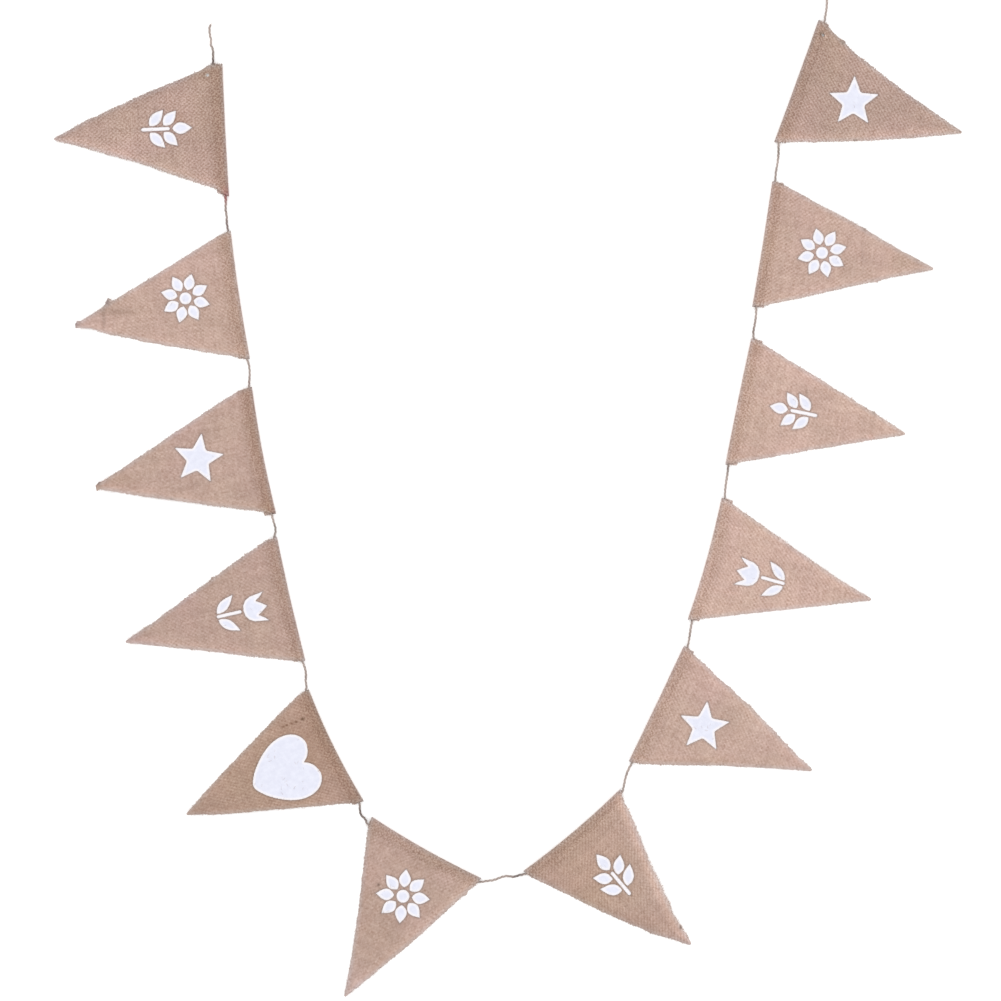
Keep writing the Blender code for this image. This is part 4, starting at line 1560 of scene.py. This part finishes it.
def burlap():
    graph = Graph("burlap_weave")
    height, over, tone, woven = weave(graph)
    place = graph.place()
    fibre = graph.stretched(woven, (3.0, 3.0, 1.0), 1.4, 3.0, 0.6)
    light = burlap_light(graph, over, tone, fibre, woven)
    colour = graph.mix(graph.range(light, 0.08, 0.83), DARK_JUTE, PALE_JUTE)
    # painted shade between the threads: where the weave is low the colour is darker
    colour = graph.shade(colour, graph.range(height, -0.05, 0.55, 0.92, 1.0))
    hue = graph.range(graph.noise(place, 19.0, 2.0), 0.3, 0.7)
    colour = graph.multiply(colour, graph.mix(hue, GREENISH, REDDISH))
    cloudy = graph.noise(graph.vector("ADD", place, (3.0, 1.0, 0.0)), 30.0, 3.0)
    colour = graph.shade(colour, graph.range(cloudy, 0.25, 0.75, 0.96, 1.04))
    warp_streak = graph.stretched(woven, (0.3, 0.025, 0.0), 1.0, 2.0)
    weft_streak = graph.stretched(woven, (0.025, 0.3, 0.0), 1.0, 2.0)
    streak = graph.math("ADD", warp_streak, weft_streak)
    colour = graph.shade(colour, graph.range(streak, 0.7, 1.3, 0.96, 1.04))
    colour = graph.multiply(colour, graph.attribute("tint", "Color"))
    roughness = graph.range(fibre, 0.2, 0.8, 0.82, 0.98)
    deep = graph.math("MULTIPLY_ADD", fibre, 0.4, height)
    return graph.finish(colour, roughness, graph.bump(deep, 0.35, 0.0002))


def paint():
    graph = Graph("stencil_paint")
    height, _, _, woven = weave(graph)
    patchy = graph.noise(woven, 0.35, 3.0, 0.6)
    colour = graph.mix(graph.range(patchy, 0.3, 0.75), THIN_PAINT, THICK_PAINT)
    pores = graph.range(graph.math("MULTIPLY_ADD", patchy, 0.5, height), 0.05, 0.35, 0.9, 1.0)
    colour = graph.shade(colour, pores)
    rim = graph.range(graph.attribute("inner"), 0.8, 3.2, 0.85, 0.0)
    colour = graph.mix(rim, colour, PAINT_RIM)
    roughness = graph.range(patchy, 0.2, 0.8, 0.55, 0.75)
    return graph.finish(colour, roughness, graph.bump(height, 0.35, 0.00015))


def jute_twine():
    graph = Graph("twisted_jute")
    x, y, _ = graph.parts(graph.map("strand"))
    fibre = graph.noise(graph.joined(graph.math("MULTIPLY", x, 9.0), y), 2.0, 3.0, 0.6)
    patch = graph.noise(graph.joined(0.0, y), 0.6, 2.0)
    light = graph.math("MULTIPLY_ADD", patch, 0.3, graph.math("MULTIPLY", fibre, 0.8))
    colour = graph.mix(graph.range(light, 0.3, 0.8), DARK_TWINE, PALE_TWINE)
    # painted shade in the grooves between the plies: darker where the outline is nearer the middle
    colour = graph.shade(colour, graph.range(graph.attribute("depth"), 0.55, 0.95, 0.62, 1.0))
    colour = graph.multiply(colour, graph.attribute("tint", "Color"))
    return graph.finish(colour, graph.range(fibre, 0.2, 0.8, 0.8, 0.95), graph.bump(fibre, 0.5, 0.0002))


def loose_fibre():
    graph = Graph("cut_threads")
    tone = graph.noise(graph.place(), 420.0, 2.0)
    colour = graph.mix(graph.range(tone, 0.3, 0.7), DARK_FIBRE, PALE_FIBRE)
    return graph.finish(colour, graph.range(tone, 0.2, 0.8, 0.85, 0.97), graph.bump(tone, 0.3, 0.0001))


def floor_finish():
    graph = Graph("white_floor")
    grain = graph.noise(graph.place(), 6.0, 2.0)
    colour = graph.mix(grain, DARK_FLOOR, WHITE_FLOOR)
    graph.give(graph.shader.inputs["Base Color"], colour)
    graph.shader.inputs["Roughness"].default_value = 0.9
    graph.shader.inputs["Specular IOR Level"].default_value = 0.0
    graph.shader.inputs["Emission Color"].default_value = (1.0, 1.0, 1.0, 1.0)
    graph.shader.inputs["Emission Strength"].default_value = 0.12
    return graph.material


# ---------------------------------------------------------------- stage

def make_camera():
    data = bpy.data.cameras.new("camera")
    data.lens = LENS
    data.sensor_width = SENSOR
    data.clip_end = 50.0
    camera = bpy.data.objects.new("camera", data)
    camera.location = world(*PHOTO_CENTRE, PHOTO_WIDTH * LENS / SENSOR)
    bpy.context.scene.collection.objects.link(camera)
    bpy.context.scene.camera = camera


def make_floor(finish):
    data = bpy.data.meshes.new("floor")
    corners = [(x * FLOOR_HALF, y * FLOOR_HALF, FLOOR_TOP) for x, y in ((-1, -1), (1, -1), (1, 1), (-1, 1))]
    data.from_pydata(corners, [], [(0, 1, 2, 3)])
    add_object("floor", data, finish)


def make_light(name, place, size, power):
    data = bpy.data.lights.new(name, "AREA")
    data.shape = "SQUARE"
    data.size = size
    data.energy = power
    light = bpy.data.objects.new(name, data)
    light.location = place
    light.rotation_euler = (-Vector(place)).to_track_quat("-Z", "Y").to_euler()
    bpy.context.scene.collection.objects.link(light)


def make_world():
    surroundings = bpy.data.worlds.new("surroundings")
    surroundings.use_nodes = True
    background = surroundings.node_tree.nodes["Background"]
    background.inputs["Color"].default_value = (1.0, 1.0, 1.0, 1.0)
    background.inputs["Strength"].default_value = 1.0
    bpy.context.scene.world = surroundings
    bpy.context.scene.view_settings.view_transform = "Standard"


def main():
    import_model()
    make_camera()
    shapes = [Shape(number) for number in range(len(PENNANTS))]
    fray_finish = loose_fibre()
    make_twine(shapes, jute_twine(), fray_finish)
    cloth_finish = burlap()
    paint_finish = paint()
    for shape in shapes:
        cloth = make_cloth(shape, cloth_finish)
        fray = make_fray(shape, fray_finish)
        motif = make_motif(shape, paint_finish)
        flat_area(shape)
    make_floor(floor_finish())
    make_light("key", (-0.9, 1.1, 2.8), 3.0, 17.0)
    make_light("fill", (1.1, -0.9, 2.6), 3.0, 9.0)
    make_world()


main()
